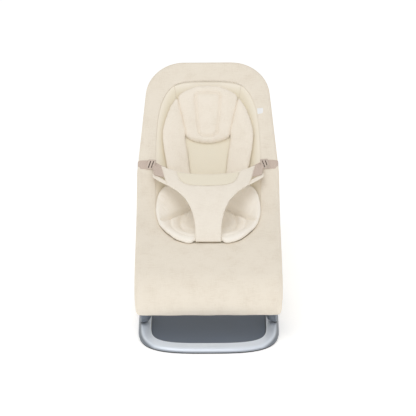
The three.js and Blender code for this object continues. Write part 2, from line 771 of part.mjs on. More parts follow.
add('bib', bibPanel(), look.quilt);
addPair('bib_keeper', bibKeeper(), look.webbing);
addPair('strap', strapLoop(), look.webbing);
addPair('strap_adjuster', strapAdjuster(), look.buckle);

export default bouncer;
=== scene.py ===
import json
import math

import bmesh
import bpy
import numpy as np
from mathutils import Matrix, Vector
from mathutils.geometry import delaunay_2d_cdt


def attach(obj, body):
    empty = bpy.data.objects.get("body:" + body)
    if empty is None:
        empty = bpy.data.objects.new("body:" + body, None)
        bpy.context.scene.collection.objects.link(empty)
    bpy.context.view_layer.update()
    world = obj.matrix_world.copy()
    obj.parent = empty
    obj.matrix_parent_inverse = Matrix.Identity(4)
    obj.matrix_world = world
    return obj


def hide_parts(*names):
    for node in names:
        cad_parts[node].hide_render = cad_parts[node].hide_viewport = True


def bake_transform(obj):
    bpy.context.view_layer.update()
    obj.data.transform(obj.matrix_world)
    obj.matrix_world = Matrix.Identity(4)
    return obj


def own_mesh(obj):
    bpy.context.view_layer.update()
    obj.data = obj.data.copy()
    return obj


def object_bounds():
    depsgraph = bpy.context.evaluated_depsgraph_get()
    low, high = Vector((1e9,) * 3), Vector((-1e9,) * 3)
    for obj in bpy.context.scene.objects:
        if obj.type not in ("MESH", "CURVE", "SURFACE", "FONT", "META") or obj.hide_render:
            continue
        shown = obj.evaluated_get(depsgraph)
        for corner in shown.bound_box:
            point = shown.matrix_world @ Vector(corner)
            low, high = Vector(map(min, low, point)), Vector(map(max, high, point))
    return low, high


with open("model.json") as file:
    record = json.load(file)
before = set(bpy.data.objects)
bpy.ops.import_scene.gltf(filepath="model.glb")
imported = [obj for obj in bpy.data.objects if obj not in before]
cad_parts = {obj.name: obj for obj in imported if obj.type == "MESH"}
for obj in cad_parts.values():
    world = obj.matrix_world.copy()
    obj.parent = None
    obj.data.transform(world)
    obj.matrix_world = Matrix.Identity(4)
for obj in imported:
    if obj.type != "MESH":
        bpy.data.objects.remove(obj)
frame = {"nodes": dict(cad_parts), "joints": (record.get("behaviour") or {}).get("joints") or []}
cad_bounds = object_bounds()
nodes = frame["nodes"]
scene = bpy.context.scene
SIDES = (("left", -1), ("right", 1))

# ---------------------------------------------------------------- camera, light and floor


def place_camera():
    camera = bpy.data.cameras.new("camera")
    camera.lens = 211.3
    camera.sensor_width = 36
    holder = bpy.data.objects.new("camera", camera)
    holder.location = (-0.0007, -6.5716, 3.3450)
    tilt = Matrix.Rotation(math.radians(65), 3, "X")
    roll = Matrix.Rotation(math.radians(-0.25), 3, "Z")
    holder.rotation_euler = (tilt @ roll).to_euler()
    scene.collection.objects.link(holder)
    scene.camera = holder


def area_light(name, place, target, size, power, colour=(1, 1, 1)):
    light = bpy.data.lights.new(name, "AREA")
    light.shape = "RECTANGLE"
    light.size, light.size_y = size
    light.energy = power
    light.color = colour
    holder = bpy.data.objects.new(name, light)
    holder.location = place
    aim = Vector(target) - Vector(place)
    holder.rotation_euler = aim.to_track_quat("-Z", "Y").to_euler()
    scene.collection.objects.link(holder)


def studio():
    world = bpy.data.worlds.new("studio")
    world.use_nodes = True
    back = world.node_tree.nodes["Background"]
    back.inputs["Color"].default_value = (1, 0.995, 0.985, 1)
    back.inputs["Strength"].default_value = 0.70
    scene.world = world
    scene.view_settings.view_transform = "Standard"
    area_light("key", (-1.0, -1.4, 4.0), (0, 0, 0.25), (2.6, 2.6), 32)
    area_light("fill", (0.7, -3.6, 2.6), (0, 0, 0.2), (2.6, 2.2), 18)


place_camera()
studio()

# ---------------------------------------------------------------- the line the sling follows

FOOT_Y = cad_bounds[0][1]
JOINTS = {joint["name"]: joint for joint in frame["joints"]}
HUB = np.array(JOINTS["recline"]["pos_m"][1:])
NOSE = np.array(JOINTS["bounce"]["pos_m"][1:])
NOSE_RADIUS = 0.062
ARM_ANGLE, HEM_ANGLE, NOSE_TOP = 243.5, 235.0, 110.0
SEAT_TUBE_START = 219
SEAT_CURVE = np.array([(0.2555, 0.263), (0.353, 0.235), (0.46, 0.325)]) + (FOOT_Y, 0)
BACK_SLOPE, BACK_LENGTH = 40.0, 0.3995
TUBE = 0.008
CLOTH_RADIUS = 0.0105
HALF_WIDTH, HUB_X = 0.2005, 0.18325
TAPER, TAPER_FROM = math.radians(5.2), 0.04
CORNER = 0.105


def polar(angle):
    return np.array([math.cos(math.radians(angle)), math.sin(math.radians(angle))])


def frame_profile():
    """Distance, place and direction along the side of the frame, from the hub to past the head."""
    nose = [NOSE + polar(a) * NOSE_RADIUS for a in np.linspace(ARM_ANGLE, NOSE_TOP, 200)]
    arm = [HUB + (nose[0] - HUB) * k for k in np.linspace(0, 1, 40)]
    u = np.linspace(0, 1, 400)[:, None]
    rise, dip, end = SEAT_CURVE
    seat = nose[-1] * (1 - u) ** 3 + 3 * rise * u * (1 - u) ** 2 + 3 * dip * u * u * (1 - u) + end * u**3
    back = [end + polar(BACK_SLOPE) * t for t in np.linspace(0, BACK_LENGTH + 0.1, 120)]
    points = np.vstack([arm, nose[1:], seat[1:], back[1:]])
    steps = np.linalg.norm(np.diff(points, axis=0), axis=1)
    s = np.concatenate([[0], np.cumsum(steps)])
    ahead = np.gradient(points, s, axis=0)
    ahead /= np.linalg.norm(ahead, axis=1)[:, None]
    return s, points, ahead, s[len(arm) + len(nose) + len(seat) - 3]


RUN, PROFILE, AHEAD, BACK = frame_profile()


def at_nose(angle):
    return np.linalg.norm(PROFILE[39] - PROFILE[0]) + math.radians(ARM_ANGLE - angle) * NOSE_RADIUS


HEM = at_nose(HEM_ANGLE)
HEAD = BACK + BACK_LENGTH
CORNER_S = HEAD - CORNER


def half_width(s):
    s = np.asarray(s, float)
    arm = HUB_X + (HALF_WIDTH - HUB_X) * np.clip((s - 0.045) / (at_nose(180) - 0.045), 0, 1)
    return arm - np.clip(s - BACK - TAPER_FROM, 0, None) * math.tan(TAPER)


CORNER_X = float(half_width(CORNER_S + CORNER * math.sin(TAPER))) - CORNER * math.cos(TAPER)


def frame_x(s):
    """Where the middle of the side tube is at s, corners included."""
    s = np.asarray(s, float)
    beyond = s - CORNER_S
    corner = CORNER_X + np.sqrt(np.clip(CORNER**2 - beyond**2, 0, None))
    return np.where(beyond < CORNER * math.sin(TAPER), half_width(s), corner)


def on_sling(s, x, lift):
    """A point at s along the sling, x across it and lift above the frame's middle."""
    s, x, lift = np.broadcast_arrays(*(np.asarray(v, float) for v in (s, x, lift)))
    y, z, ty, tz = (np.interp(s, RUN, v) for v in (*PROFILE.T, *AHEAD.T))
    return np.stack([x, y - tz * lift, z + ty * lift], -1)


def off_sling(points):
    """The (x, s, lift) of points in space."""
    points = np.asarray(points, float)
    found = np.zeros((len(points), 3))
    for first in range(0, len(points), 4000):
        part = points[first : first + 4000]
        gap = part[:, None, 1:] - PROFILE[None, 40::2]
        near = 40 + 2 * np.argmin((gap**2).sum(2), axis=1)
        rest = part[:, 1:] - PROFILE[near]
        ahead = AHEAD[near]
        found[first : first + 4000] = np.stack([
            part[:, 0],
            RUN[near] + (rest * ahead).sum(1),
            rest[:, 1] * ahead[:, 0] - rest[:, 0] * ahead[:, 1],
        ], -1)
    return found


# ---------------------------------------------------------------- mesh helpers


def link(name, mesh):
    made = bpy.data.objects.new(name, mesh)
    scene.collection.objects.link(made)
    return made


def make(name, points, faces, smooth=True):
    mesh = bpy.data.meshes.new(name)
    mesh.from_pydata([tuple(p) for p in np.asarray(points, float)], [], [tuple(map(int, f)) for f in faces])
    mesh.validate()
    mesh.polygons.foreach_set("use_smooth", [smooth] * len(mesh.polygons))
    return link(name, mesh)


def tidy_mesh(obj, gap=1e-5):
    work = bmesh.new()
    work.from_mesh(obj.data)
    bmesh.ops.remove_doubles(work, verts=work.verts, dist=gap)
    bmesh.ops.recalc_face_normals(work, faces=work.faces)
    work.to_mesh(obj.data)
    work.free()
    return obj


def coordinates(obj):
    co = np.zeros(len(obj.data.vertices) * 3)
    obj.data.vertices.foreach_get("co", co)
    return co.reshape(-1, 3)


def move_to(obj, points):
    obj.data.vertices.foreach_set("co", np.asarray(points, float).ravel())
    obj.data.update()


def normals(obj):
    normal = np.zeros(len(obj.data.vertices) * 3)
    obj.data.vertices.foreach_get("normal", normal)
    return normal.reshape(-1, 3)


def bake_modifiers(obj):
    bpy.context.view_layer.update()
    evaluated = obj.evaluated_get(bpy.context.evaluated_depsgraph_get())
    mesh = bpy.data.meshes.new_from_object(evaluated)
    obj.modifiers.clear()
    obj.data = mesh
    mesh.polygons.foreach_set("use_smooth", [True] * len(mesh.polygons))
    return obj


def solidify(obj, thickness, offset=-1):
    shell = obj.modifiers.new("thickness", "SOLIDIFY")
    shell.thickness = thickness
    shell.offset = offset
    shell.use_even_offset = True
    return bake_modifiers(obj)


def subdivide(obj, levels=1):
    smooth = obj.modifiers.new("smooth", "SUBSURF")
    smooth.levels = smooth.render_levels = levels
    return bake_modifiers(obj)


def bevel(obj, width, segments=3, angle=35):
    edge = obj.modifiers.new("bevel", "BEVEL")
    edge.width = width
    edge.segments = segments
    edge.limit_method = "ANGLE"
    edge.angle_limit = math.radians(angle)
    edge.harden_normals = False
    return bake_modifiers(obj)


def quads(rows, columns, start=0, ring=False):
    """Faces of a grid of points stored row by row. A ring joins the last column to the first."""
    faces = []
    for i in range(rows - 1):
        for j in range(columns if ring else columns - 1):
            k = (j + 1) % columns
            a, b = start + i * columns, start + (i + 1) * columns
            faces.append((a + j, a + k, b + k, b + j))
    return faces


def sweep(name, path, section, closed=False, up=(0, 0, 1)):
    """Sweeps a closed section of (side, up) offsets along a path, with capped ends."""
    path = np.asarray(path, float)
    if closed:
        ahead = np.roll(path, -1, 0) - np.roll(path, 1, 0)
    else:
        ahead = np.gradient(path, axis=0)
    ahead /= np.linalg.norm(ahead, axis=1)[:, None]
    up = np.broadcast_to(np.asarray(up, float), path.shape)
    side = np.cross(ahead, up)
    side /= np.linalg.norm(side, axis=1)[:, None]
    top = np.cross(side, ahead)
    section = np.asarray(section, float)
    if section.ndim == 2:
        section = np.broadcast_to(section, (len(path), *section.shape))
    points = path[:, None] + side[:, None] * section[:, :, :1] + top[:, None] * section[:, :, 1:]
    rows, columns = points.shape[:2]
    flat = points.reshape(-1, 3)
    faces = quads(rows, columns, ring=True)
    if closed:
        last = (rows - 1) * columns
        faces += [(last + j, last + (j + 1) % columns, (j + 1) % columns, j) for j in range(columns)]
    else:
        faces.append(tuple(range(columns)))
        faces.append(tuple(range((rows - 1) * columns, rows * columns))[::-1])
    return tidy_mesh(make(name, flat, faces))


def circle(radius, count=16):
    turn = np.linspace(0, 2 * math.pi, count, endpoint=False)
    return np.stack([radius * np.cos(turn), radius * np.sin(turn)], -1)


def rounded(corners, radius, steps=4):
    """A closed outline with each corner rounded."""
    corners = np.asarray(corners, float)
    radii = np.broadcast_to(radius, len(corners))
    outline = []
    for i, corner in enumerate(corners):
        before, after = corners[i - 1] - corner, corners[(i + 1) % len(corners)] - corner
        reach = min(radii[i], 0.49 * np.linalg.norm(before), 0.49 * np.linalg.norm(after))
        first = corner + before / np.linalg.norm(before) * reach
        last = corner + after / np.linalg.norm(after) * reach
        for k in np.linspace(0, 1, steps):
            outline.append(first * (1 - k) ** 2 + 2 * corner * k * (1 - k) + last * k * k)
    return np.array(outline)


def spline(points, spacing, closed=True):
    """A smooth line through points, sampled at even distances."""
    points = np.asarray(points, float)
    count = len(points)
    fine = []
    for i in range(count if closed else count - 1):
        if closed:
            a, b, c, d = (points[(i + k) % count] for k in (-1, 0, 1, 2))
        else:
            a, b, c, d = (points[min(max(i + k, 0), count - 1)] for k in (-1, 0, 1, 2))
        for u in np.linspace(0, 1, 24, endpoint=False):
            fine.append(0.5 * (2 * b + (c - a) * u + (2 * a - 5 * b + 4 * c - d) * u**2
                               + (3 * b - a - 3 * c + d) * u**3))
    fine.append(points[0] if closed else points[-1])
    fine = np.array(fine)
    run = np.concatenate([[0], np.cumsum(np.linalg.norm(np.diff(fine, axis=0), axis=1))])
    pieces = max(3, round(run[-1] / spacing))
    even = np.linspace(0, run[-1], pieces + 1)
    line = np.stack([np.interp(even, run, fine[:, k]) for k in range(fine.shape[1])], -1)
    return line[:-1] if closed else line


def distance_to(points, line, closed=False):
    """Distance from each 2-D point to a polyline."""
    points, line = np.asarray(points, float), np.asarray(line, float)
    ends = np.roll(line, -1, 0) if closed else line[1:]
    starts = line if closed else line[:-1]
    best = np.full(len(points), 1e9)
    for a, b in zip(starts, ends):
        way = b - a
        along = np.clip(((points - a) @ way) / max(way @ way, 1e-12), 0, 1)
        best = np.minimum(best, np.linalg.norm(points - a - along[:, None] * way, axis=1))
    return best


def inside(points, outline):
    """Which 2-D points lie inside a closed outline."""
    x, y = np.asarray(points, float).T
    hit = np.zeros(len(x), bool)
    for (x0, y0), (x1, y1) in zip(outline, np.roll(outline, -1, 0)):
        crosses = (y0 > y) != (y1 > y)
        with np.errstate(divide="ignore", invalid="ignore"):
            hit ^= crosses & (x < (x1 - x0) * (y - y0) / (y1 - y0) + x0)
    return hit


def store_cloth(obj, values=None):
    """Keeps each point's (x, s, lift) in millimetres for the weave."""
    values = off_sling(coordinates(obj)) if values is None else values
    held = obj.data.attributes.new("cloth", "FLOAT_VECTOR", "POINT")
    held.data.foreach_set("vector", (np.asarray(values) * 1000).ravel())


def finish_piece(obj, body, material, slot, *replaced):
    obj.data.materials.clear()
    obj.data.materials.append(material)
    if body:
        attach(obj, body)
    if replaced:
        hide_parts(*replaced)
    return obj


# ---------------------------------------------------------------- materials


def srgb(red, green, blue):
    values = [v / 255 for v in (red, green, blue)]
    return (*(v / 12.92 if v <= 0.04045 else ((v + 0.055) / 1.055) ** 2.4 for v in values), 1)


class Finish:
    """A material built from nodes. Numbers that are the same all over go straight on the shader."""

    def __init__(self, name, **constants):
        self.material = bpy.data.materials.new(name)
        self.material.use_nodes = True
        self.tree = self.material.node_tree
        self.shader = self.tree.nodes["Principled BSDF"]
        for socket, value in constants.items():
            self.shader.inputs[socket.replace("_", " ")].default_value = value

    def node(self, kind, inputs=None, **settings):
        made = self.tree.nodes.new("ShaderNode" + kind)
        for name, value in settings.items():
            setattr(made, name, value)
        for key, value in (inputs or {}).items():
            if hasattr(value, "is_output"):
                self.tree.links.new(value, made.inputs[key])
            else:
                made.inputs[key].default_value = value
        return made

    def math(self, operation, *values):
        return self.node("Math", dict(enumerate(values)), operation=operation).outputs[0]

    def place(self, cloth, stretch=(1, 1, 1)):
        """Where the surface is, in millimetres: along the cloth, or in space."""
        if cloth:
            source = self.node("Attribute", attribute_name="cloth").outputs["Vector"]
        else:
            source = self.node("TexCoord").outputs["Object"]
            stretch = tuple(1000 * k for k in stretch)
        return self.node("Mapping", {"Vector": source, "Scale": stretch}).outputs["Vector"]

    def noise(self, where, scale, detail=3.0, rough=0.55):
        values = {"Vector": where, "Scale": scale, "Detail": detail, "Roughness": rough}
        return self.node("TexNoise", values).outputs["Fac"]

    def ramp(self, factor, stops):
        ramp = self.node("ValToRGB", {"Fac": factor})
        elements = ramp.color_ramp.elements
        while len(elements) < len(stops):
            elements.new(0.5)
        for element, (position, colour) in zip(elements, stops):
            element.position, element.color = position, colour
        return ramp.outputs["Color"]

    def mix(self, factor, first, second, how="MIX"):
        mix = self.node("Mix", data_type="RGBA", blend_type=how)
        for index, value in ((0, factor), (6, first), (7, second)):
            if hasattr(value, "is_output"):
                self.tree.links.new(value, mix.inputs[index])
            else:
                mix.inputs[index].default_value = value
        return mix.outputs[2]

    def set(self, socket, value):
        self.tree.links.new(value, self.shader.inputs[socket])

    def bump(self, *layers):
        """Layers are (height, strength, distance in millimetres), finest last."""
        normal = None
        for height, strength, distance in layers:
            values = {"Height": height, "Strength": strength, "Distance": distance / 1000}
            if normal is not None:
                values["Normal"] = normal
            normal = self.node("Bump", values).outputs["Normal"]
        self.set("Normal", normal)


def woven(name, light, dark, thread=0.9, slub=1.0, relief=0.22, patches=0.35):
    """Heathered plain weave: thread is its pitch and slub how strong the streaks are."""
    cloth = Finish(name, Roughness=0.93, Sheen_Weight=0.18, Sheen_Roughness=0.55)
    cloth.shader.inputs["Sheen Tint"].default_value = srgb(255, 247, 234)
    where = cloth.place(True)
    split = cloth.node("SeparateXYZ", {"Vector": where})
    wander = cloth.math("MULTIPLY", cloth.noise(where, 0.16), 2.2)
    across = cloth.math("ADD", split.outputs[0], wander)
    along = cloth.math("ADD", split.outputs[1], wander)
    turns = 2 * math.pi / thread
    warp = cloth.math("SINE", cloth.math("MULTIPLY", across, turns))
    weft = cloth.math("SINE", cloth.math("MULTIPLY", along, turns))
    height = cloth.math("MULTIPLY", warp, weft)
    streak_x = cloth.noise(cloth.place(True, (0.07, 1.1, 0.4)), 0.9, 4)
    streak_y = cloth.noise(cloth.place(True, (1.1, 0.07, 0.4)), 0.9, 4)
    blotch = cloth.noise(where, 0.022, 4, 0.6)
    heather = cloth.math("ADD", cloth.math("MULTIPLY", streak_x, 0.6 * slub),
                         cloth.math("MULTIPLY", streak_y, 0.4 * slub))
    shade = cloth.math("ADD", cloth.math("MULTIPLY", heather, 1 - patches),
                       cloth.math("MULTIPLY", blotch, patches))
    shade = cloth.math("ADD", shade, cloth.math("MULTIPLY", height, 0.03))
    cloth.set("Base Color", cloth.ramp(shade, ((0.3, dark), (0.52, light), (0.72, light))))
    cloth.bump((blotch, 0.12, 1.2), (height, relief, 0.35), (streak_x, 0.15, 0.25))
    return cloth.material


def knitted(name, light, dark, pitch=2.3, edge=None):
    """Spacer mesh: rows of small round holes, each row half a step over.
    Its sides may fade to an edge colour."""
    cloth = Finish(name, Roughness=0.88, Sheen_Weight=0.12, Sheen_Roughness=0.5)
    where = cloth.place(True)
    split = cloth.node("SeparateXYZ", {"Vector": where})
    turns = 2 * math.pi / pitch
    first = cloth.math("COSINE", cloth.math("MULTIPLY", split.outputs[0], turns))
    second = cloth.math("COSINE", cloth.math("MULTIPLY", split.outputs[1], turns * 0.577))
    holes = cloth.math("MULTIPLY", first, second)
    depth = cloth.math("SMOOTH_MIN", cloth.math("SUBTRACT", 0.55, holes), 0.0, 0.4)
    cell = cloth.math("ADD", cloth.math("MULTIPLY", depth, 1.6), 0.9)
    blotch = cloth.noise(where, 0.03, 3)
    shade = cloth.math("ADD", cloth.math("MULTIPLY", cell, 0.7), cloth.math("MULTIPLY", blotch, 0.35))
    colour = cloth.ramp(shade, ((0.25, dark), (0.75, light)))
    if edge:
        share = cloth.node("Attribute", attribute_name="mesh_share").outputs["Fac"]
        colour = cloth.mix(share, edge, colour)
    cloth.set("Base Color", colour)
    cloth.bump((blotch, 0.1, 1.0), (cell, 0.35, 0.5))
    return cloth.material


def webbing(name, light, dark):
    """Flat woven tape: x runs across it and s along it."""
    tape = Finish(name, Roughness=0.82, Sheen_Weight=0.15, Sheen_Roughness=0.45)
    split = tape.node("SeparateXYZ", {"Vector": tape.place(True)})
    ribs = tape.math("SINE", tape.math("MULTIPLY", split.outputs[1], 2 * math.pi / 1.5))
    cords = tape.math("SINE", tape.math("MULTIPLY", split.outputs[0], 2 * math.pi / 2.4))
    slant = tape.math("ADD", split.outputs[0], split.outputs[1])
    twill = tape.math("SINE", tape.math("MULTIPLY", slant, 2 * math.pi / 2.0))
    height = tape.math("ADD", tape.math("MULTIPLY", ribs, 0.5), tape.math("MULTIPLY", twill, 0.5))
    grain = tape.noise(tape.place(True), 0.7, 4)
    shade = tape.math("ADD", tape.math("MULTIPLY", height, 0.13), grain)
    shade = tape.math("ADD", shade, tape.math("MULTIPLY", cords, 0.06))
    tape.set("Base Color", tape.ramp(shade, ((0.3, dark), (0.62, light))))
    tape.bump((height, 0.35, 0.4), (grain, 0.15, 0.3))
    return tape.material


def moulded(name, colour, rough=0.5, grain=0.25, shift=0.07, **constants):
    """Moulded or painted surface with fine grain and slight change of tone and gloss."""
    skin = Finish(name, **constants)
    where = skin.place(False)
    fine = skin.noise(where, 1.6, 3)
    broad = skin.noise(where, 0.012, 4)
    shade = skin.math("ADD", skin.math("MULTIPLY", fine, 0.35), skin.math("MULTIPLY", broad, 0.65))
    darker = tuple(v * (1 - shift) for v in colour[:3]) + (1,)
    lighter = tuple(min(1, v * (1 + shift)) for v in colour[:3]) + (1,)
    skin.set("Base Color", skin.ramp(shade, ((0.35, darker), (0.65, lighter))))
    gloss = skin.math("ADD", skin.math("MULTIPLY", broad, 0.16), rough - 0.08)
    skin.set("Roughness", gloss)
    skin.bump((broad, 0.05, 2.0), (fine, grain, 0.12))
    return skin.material


COTTON = woven("heathered_cotton", srgb(237, 228, 213), srgb(222, 210, 192))
QUILT = woven("quilted_cotton", srgb(241, 232, 218), srgb(228, 217, 200), thread=0.8, relief=0.18)
# the seat pad's cotton is a lighter copy of the quilted cotton: painted light offsetting the shade in the
# bucket's hollow
PAD_QUILT_LIT = woven("seat_pad_cotton_lit", srgb(252, 246, 236), srgb(242, 234, 220), thread=0.8, relief=0.18)
BIB_CLOTH = woven("bib_cotton", srgb(242, 234, 221), srgb(230, 220, 205), thread=0.8, relief=0.18)
MESH = knitted("spacer_mesh", srgb(237, 229, 210), srgb(223, 213, 190))
# the bucket mesh's edge cream is partly the cotton's colour and partly painted light: lighter than the
# cotton, to brighten the slope below the head seam
BUCKET_MESH = knitted("bucket_mesh", srgb(234, 225, 204), srgb(219, 208, 183), edge=srgb(244, 236, 221))
TAPE = webbing("webbing", srgb(216, 199, 186), srgb(186, 168, 156))
BINDING = woven("binding_tape", srgb(241, 233, 220), srgb(226, 215, 198), thread=0.7, slub=0.6)
LABEL = woven("label_cloth", srgb(250, 250, 250), srgb(238, 238, 238), thread=0.45, slub=0.5)
BUCKLE = moulded("buckle_plastic", srgb(200, 184, 171), 0.42, 0.15)
SILVER = moulded("satin_silver", srgb(222, 230, 241), 0.32, 0.12, 0.03, Metallic=0.2, Coat_Weight=0.15)


def paint_side_shade(material, colour, strength):
    """Paints shade onto the rim's sloped outer wall where it faces sideways and where it tips downward: a
    painted dark reflection.
    """
    tree = material.node_tree
    shader = tree.nodes["Principled BSDF"]
    before = shader.inputs["Base Color"].links[0].from_socket
    place = tree.nodes.new("ShaderNodeTexCoord")
    split = tree.nodes.new("ShaderNodeSeparateXYZ")
    tree.links.new(place.outputs["Normal"], split.inputs[0])
    side = tree.nodes.new("ShaderNodeMath")
    side.operation = "ABSOLUTE"
    tree.links.new(split.outputs[0], side.inputs[0])
    share = tree.nodes.new("ShaderNodeMapRange")
    share.interpolation_type = "SMOOTHSTEP"
    tree.links.new(side.outputs[0], share.inputs["Value"])
    share.inputs["From Min"].default_value = 0.30
    share.inputs["From Max"].default_value = 0.62
    share.inputs["To Max"].default_value = strength
    low = tree.nodes.new("ShaderNodeMapRange")
    low.interpolation_type = "SMOOTHSTEP"
    tree.links.new(split.outputs[2], low.inputs["Value"])
    low.inputs["From Min"].default_value = 0.78
    low.inputs["From Max"].default_value = 0.40
    low.inputs["To Max"].default_value = 0.75 * strength
    wall = tree.nodes.new("ShaderNodeMath")
    wall.operation = "MAXIMUM"
    tree.links.new(share.outputs[0], wall.inputs[0])
    tree.links.new(low.outputs[0], wall.inputs[1])
    mix = tree.nodes.new("ShaderNodeMix")
    mix.data_type = "RGBA"
    tree.links.new(wall.outputs[0], mix.inputs[0])
    tree.links.new(before, mix.inputs[6])
    mix.inputs[7].default_value = colour
    tree.links.new(mix.outputs[2], shader.inputs["Base Color"])
    return material


SLATE = moulded("slate_plastic", srgb(89, 100, 116), 0.52, 0.4, 0.05)
GREY = moulded("hub_plastic", srgb(124, 131, 141), 0.42, 0.25, 0.05)
GRAPHITE = moulded("graphite_plastic", srgb(62, 66, 73), 0.5, 0.35, 0.06)
RUBBER = moulded("rubber", srgb(34, 35, 38), 0.78, 0.5, 0.08)
STEEL = moulded("turned_steel", srgb(176, 178, 182), 0.28, 0.2, 0.05, Metallic=0.95)
TUBE_METAL = moulded("painted_tube", srgb(198, 203, 209), 0.33, 0.1, 0.03, Metallic=0.55)

# ---------------------------------------------------------------- sling: cover and mesh bucket

OVAL_FRONT = float(np.interp(0.222 + FOOT_Y, PROFILE[240:, 0], RUN[240:]))
OVAL_HEAD = BACK + 0.351
OVAL_MID, OVAL_HALF = (OVAL_FRONT + OVAL_HEAD) / 2, (OVAL_HEAD - OVAL_FRONT) / 2
OVAL_X = 0.157
OVAL_POWER = 3.5
SEAM_HEAD = (BACK + 0.329, 0.1015, 0.0155)    # distance, half-width and bow of the bucket's head seam
SEAM_FRONT = (OVAL_FRONT + 0.019, 0.106, -0.021)
CLOTH = 0.0017
MESH_CLOTH = 0.0012


def reach(s, x):
    along = np.abs((s - OVAL_MID) / OVAL_HALF)
    return (along**OVAL_POWER + np.abs(x / OVAL_X) ** OVAL_POWER) ** (1 / OVAL_POWER)


def bucket_depth(s, x):
    """How far the bucket hangs below the cover, fading out softly past its edge."""
    along = (s - OVAL_MID) / OVAL_HALF
    depth = 0.030 + 0.045 * np.exp(-(((along + 0.42) / 0.55) ** 2))
    hollow = 1 - reach(s, x) ** 2.6
    return depth * 0.5 * (hollow + np.sqrt(hollow**2 + 0.09**2))


def sling_lift(s, x):
    """Height of the cloth's upper face above the middle of the frame."""
    s, x = np.broadcast_arrays(np.asarray(s, float), np.asarray(x, float))
    across = x / np.maximum(frame_x(s), 0.02)
    ends = np.clip((HEAD - s) / 0.05, 0, 1) * np.clip((s - HEM) / 0.05, 0, 1)
    slack = 0.0016 * (1 - np.clip(np.abs(across), 0, 1) ** 2) * ends * (2 - ends)
    return CLOTH_RADIUS - slack - bucket_depth(s, x)


def oval_x(s):
    """Half-width of the opening at s, and past its two seams a steady share of the cover's width."""
    along = np.clip(np.abs((s - OVAL_MID) / OVAL_HALF), 0, 1)
    wide = OVAL_X * (1 - along**OVAL_POWER) ** (1 / OVAL_POWER)
    head = frame_x(s) * SEAM_HEAD[1] / frame_x(SEAM_HEAD[0])
    front = frame_x(s) * SEAM_FRONT[1] / frame_x(SEAM_FRONT[0])
    return np.where(s > SEAM_HEAD[0], head, np.where(s < SEAM_FRONT[0], front, wide))


def bow(s):
    """How far a row of threads bends along the sling in its middle."""
    head = np.where(s > SEAM_HEAD[0], (HEAD - s) / (HEAD - SEAM_HEAD[0]), 1 - (SEAM_HEAD[0] - s) / 0.12)
    front = 1 - np.abs(s - SEAM_FRONT[0]) / 0.12
    return SEAM_HEAD[2] * np.clip(head, 0, 1) ** 1.2 + SEAM_FRONT[2] * np.clip(front, 0, 1) ** 1.2


def even(start, stop, step):
    return np.linspace(start, stop, max(2, round(abs(stop - start) / step) + 1))


def sling_rows():
    corner = CORNER_S + CORNER * np.sin(np.linspace(TAPER, math.pi / 2, 20))
    rows = [
        HEM + np.array([0, 0.002, 0.006, 0.0090, 0.0100, 0.0108, 0.0116, 0.0126, 0.0145]),
        even(HEM + 0.0190, SEAM_FRONT[0], 0.007),
        even(SEAM_FRONT[0], CORNER_S + CORNER * math.sin(TAPER), 0.007)[1:],
        corner[1:],
    ]
    rows = np.concatenate(rows)
    nearest = int(np.argmin(np.abs(rows - SEAM_HEAD[0])))
    rows[nearest] = SEAM_HEAD[0]
    return rows


ROWS = sling_rows()
FIRST_HOLE = int(np.argmin(np.abs(ROWS - SEAM_FRONT[0])))
LAST_HOLE = int(np.argmin(np.abs(ROWS - SEAM_HEAD[0])))
EDGE_PARTS = (0, 0.2, 0.42, 0.62, 0.78, 0.9, 0.965, 1)
SPAN_PARTS = np.concatenate([[-1, -0.985, -0.955], np.linspace(-0.9, 0.9, 45), [0.955, 0.985, 1]])
LEFT_EDGE = len(EDGE_PARTS) - 1
RIGHT_EDGE = LEFT_EDGE + len(SPAN_PARTS) - 1


def sling_grid():
    """The (s, x) of every crossing of the cover's rows and columns, hem to head."""
    grid = []
    for s in ROWS:
        side, opening = float(cover_x(s)), float(oval_x(s))
        edge = opening + (side - opening) * (1 - np.array(EDGE_PARTS))
        x = np.concatenate([-edge, opening * SPAN_PARTS[1:-1], edge[::-1]])
        inner = np.clip(1 - np.abs(x / opening) ** 4, 0, None)
        grid.append(np.stack([s + float(bow(s)) * inner, x], -1))
    return np.array(grid)


# where each pull crosses the side, its slant and its height
STRAP_PULLS = ((0.058, 0.55, 0.0009), (0.02, -0.5, 0.0007), (0.245, 0.9, 0.0006))


def folds(s, x):
    """Faint pulls in the cloth: from the straps, across the front bend and along the hem."""
    front = at_nose(180)
    pulls = 0
    for side in (-1, 1):
        for at, slant, size in STRAP_PULLS:
            along = s - BACK - at - slant * (np.abs(x) - 0.185)
            out = np.clip((np.abs(x) - 0.10) / 0.09, 0, 1) * (np.sign(x) == side)
            pulls = pulls + size * out * np.exp(-((along / 0.007) ** 2)) * (1 + 0.2 * side)
    waves = np.sin(x * 41 + 1.3 * np.sin(s * 19)) * np.sin(x * 17 + 0.7)
    pulls = pulls + 0.0005 * waves * np.exp(-(((s - front - 0.03) / 0.05) ** 2))
    pulls = pulls + 0.0004 * np.sin(x * 63 + 2) * np.exp(-(((s - HEM) / 0.03) ** 2))
    return pulls


HEM_SPREAD = 0.0062


def cover_x(s):
    """Half-width of the cover: as the frame, but the front panel hangs straight down to its hem."""
    bend = at_nose(185)
    loose = np.clip((bend - s) / (bend - HEM), 0, 1)
    return frame_x(s) + HEM_SPREAD * loose


HEM_TURNED, HEM_STITCH = 0.0125, 0.0108


def hem_fold(s):
    """The doubled edge of the front panel and its row of stitches."""
    from_hem = s - HEM
    doubled = 0.0007 * np.clip((HEM_TURNED - from_hem) / 0.0010, 0, 1)
    stitch = 0.0008 * np.exp(-(((from_hem - HEM_STITCH) / 0.0010) ** 2))
    return doubled - stitch


def cover_top(s, x):
    return sling_lift(s, x) + folds(s, x) + hem_fold(s)


def wrap(outward, upward, centre, turns):
    """Points round the tube from its crest: a row for each place along it, a column for each turn."""
    turns = np.radians(turns)
    ring = np.cos(turns)[..., None] * upward[:, None] + np.sin(turns)[..., None] * outward[:, None]
    return centre[:, None] + CLOTH_RADIUS * ring


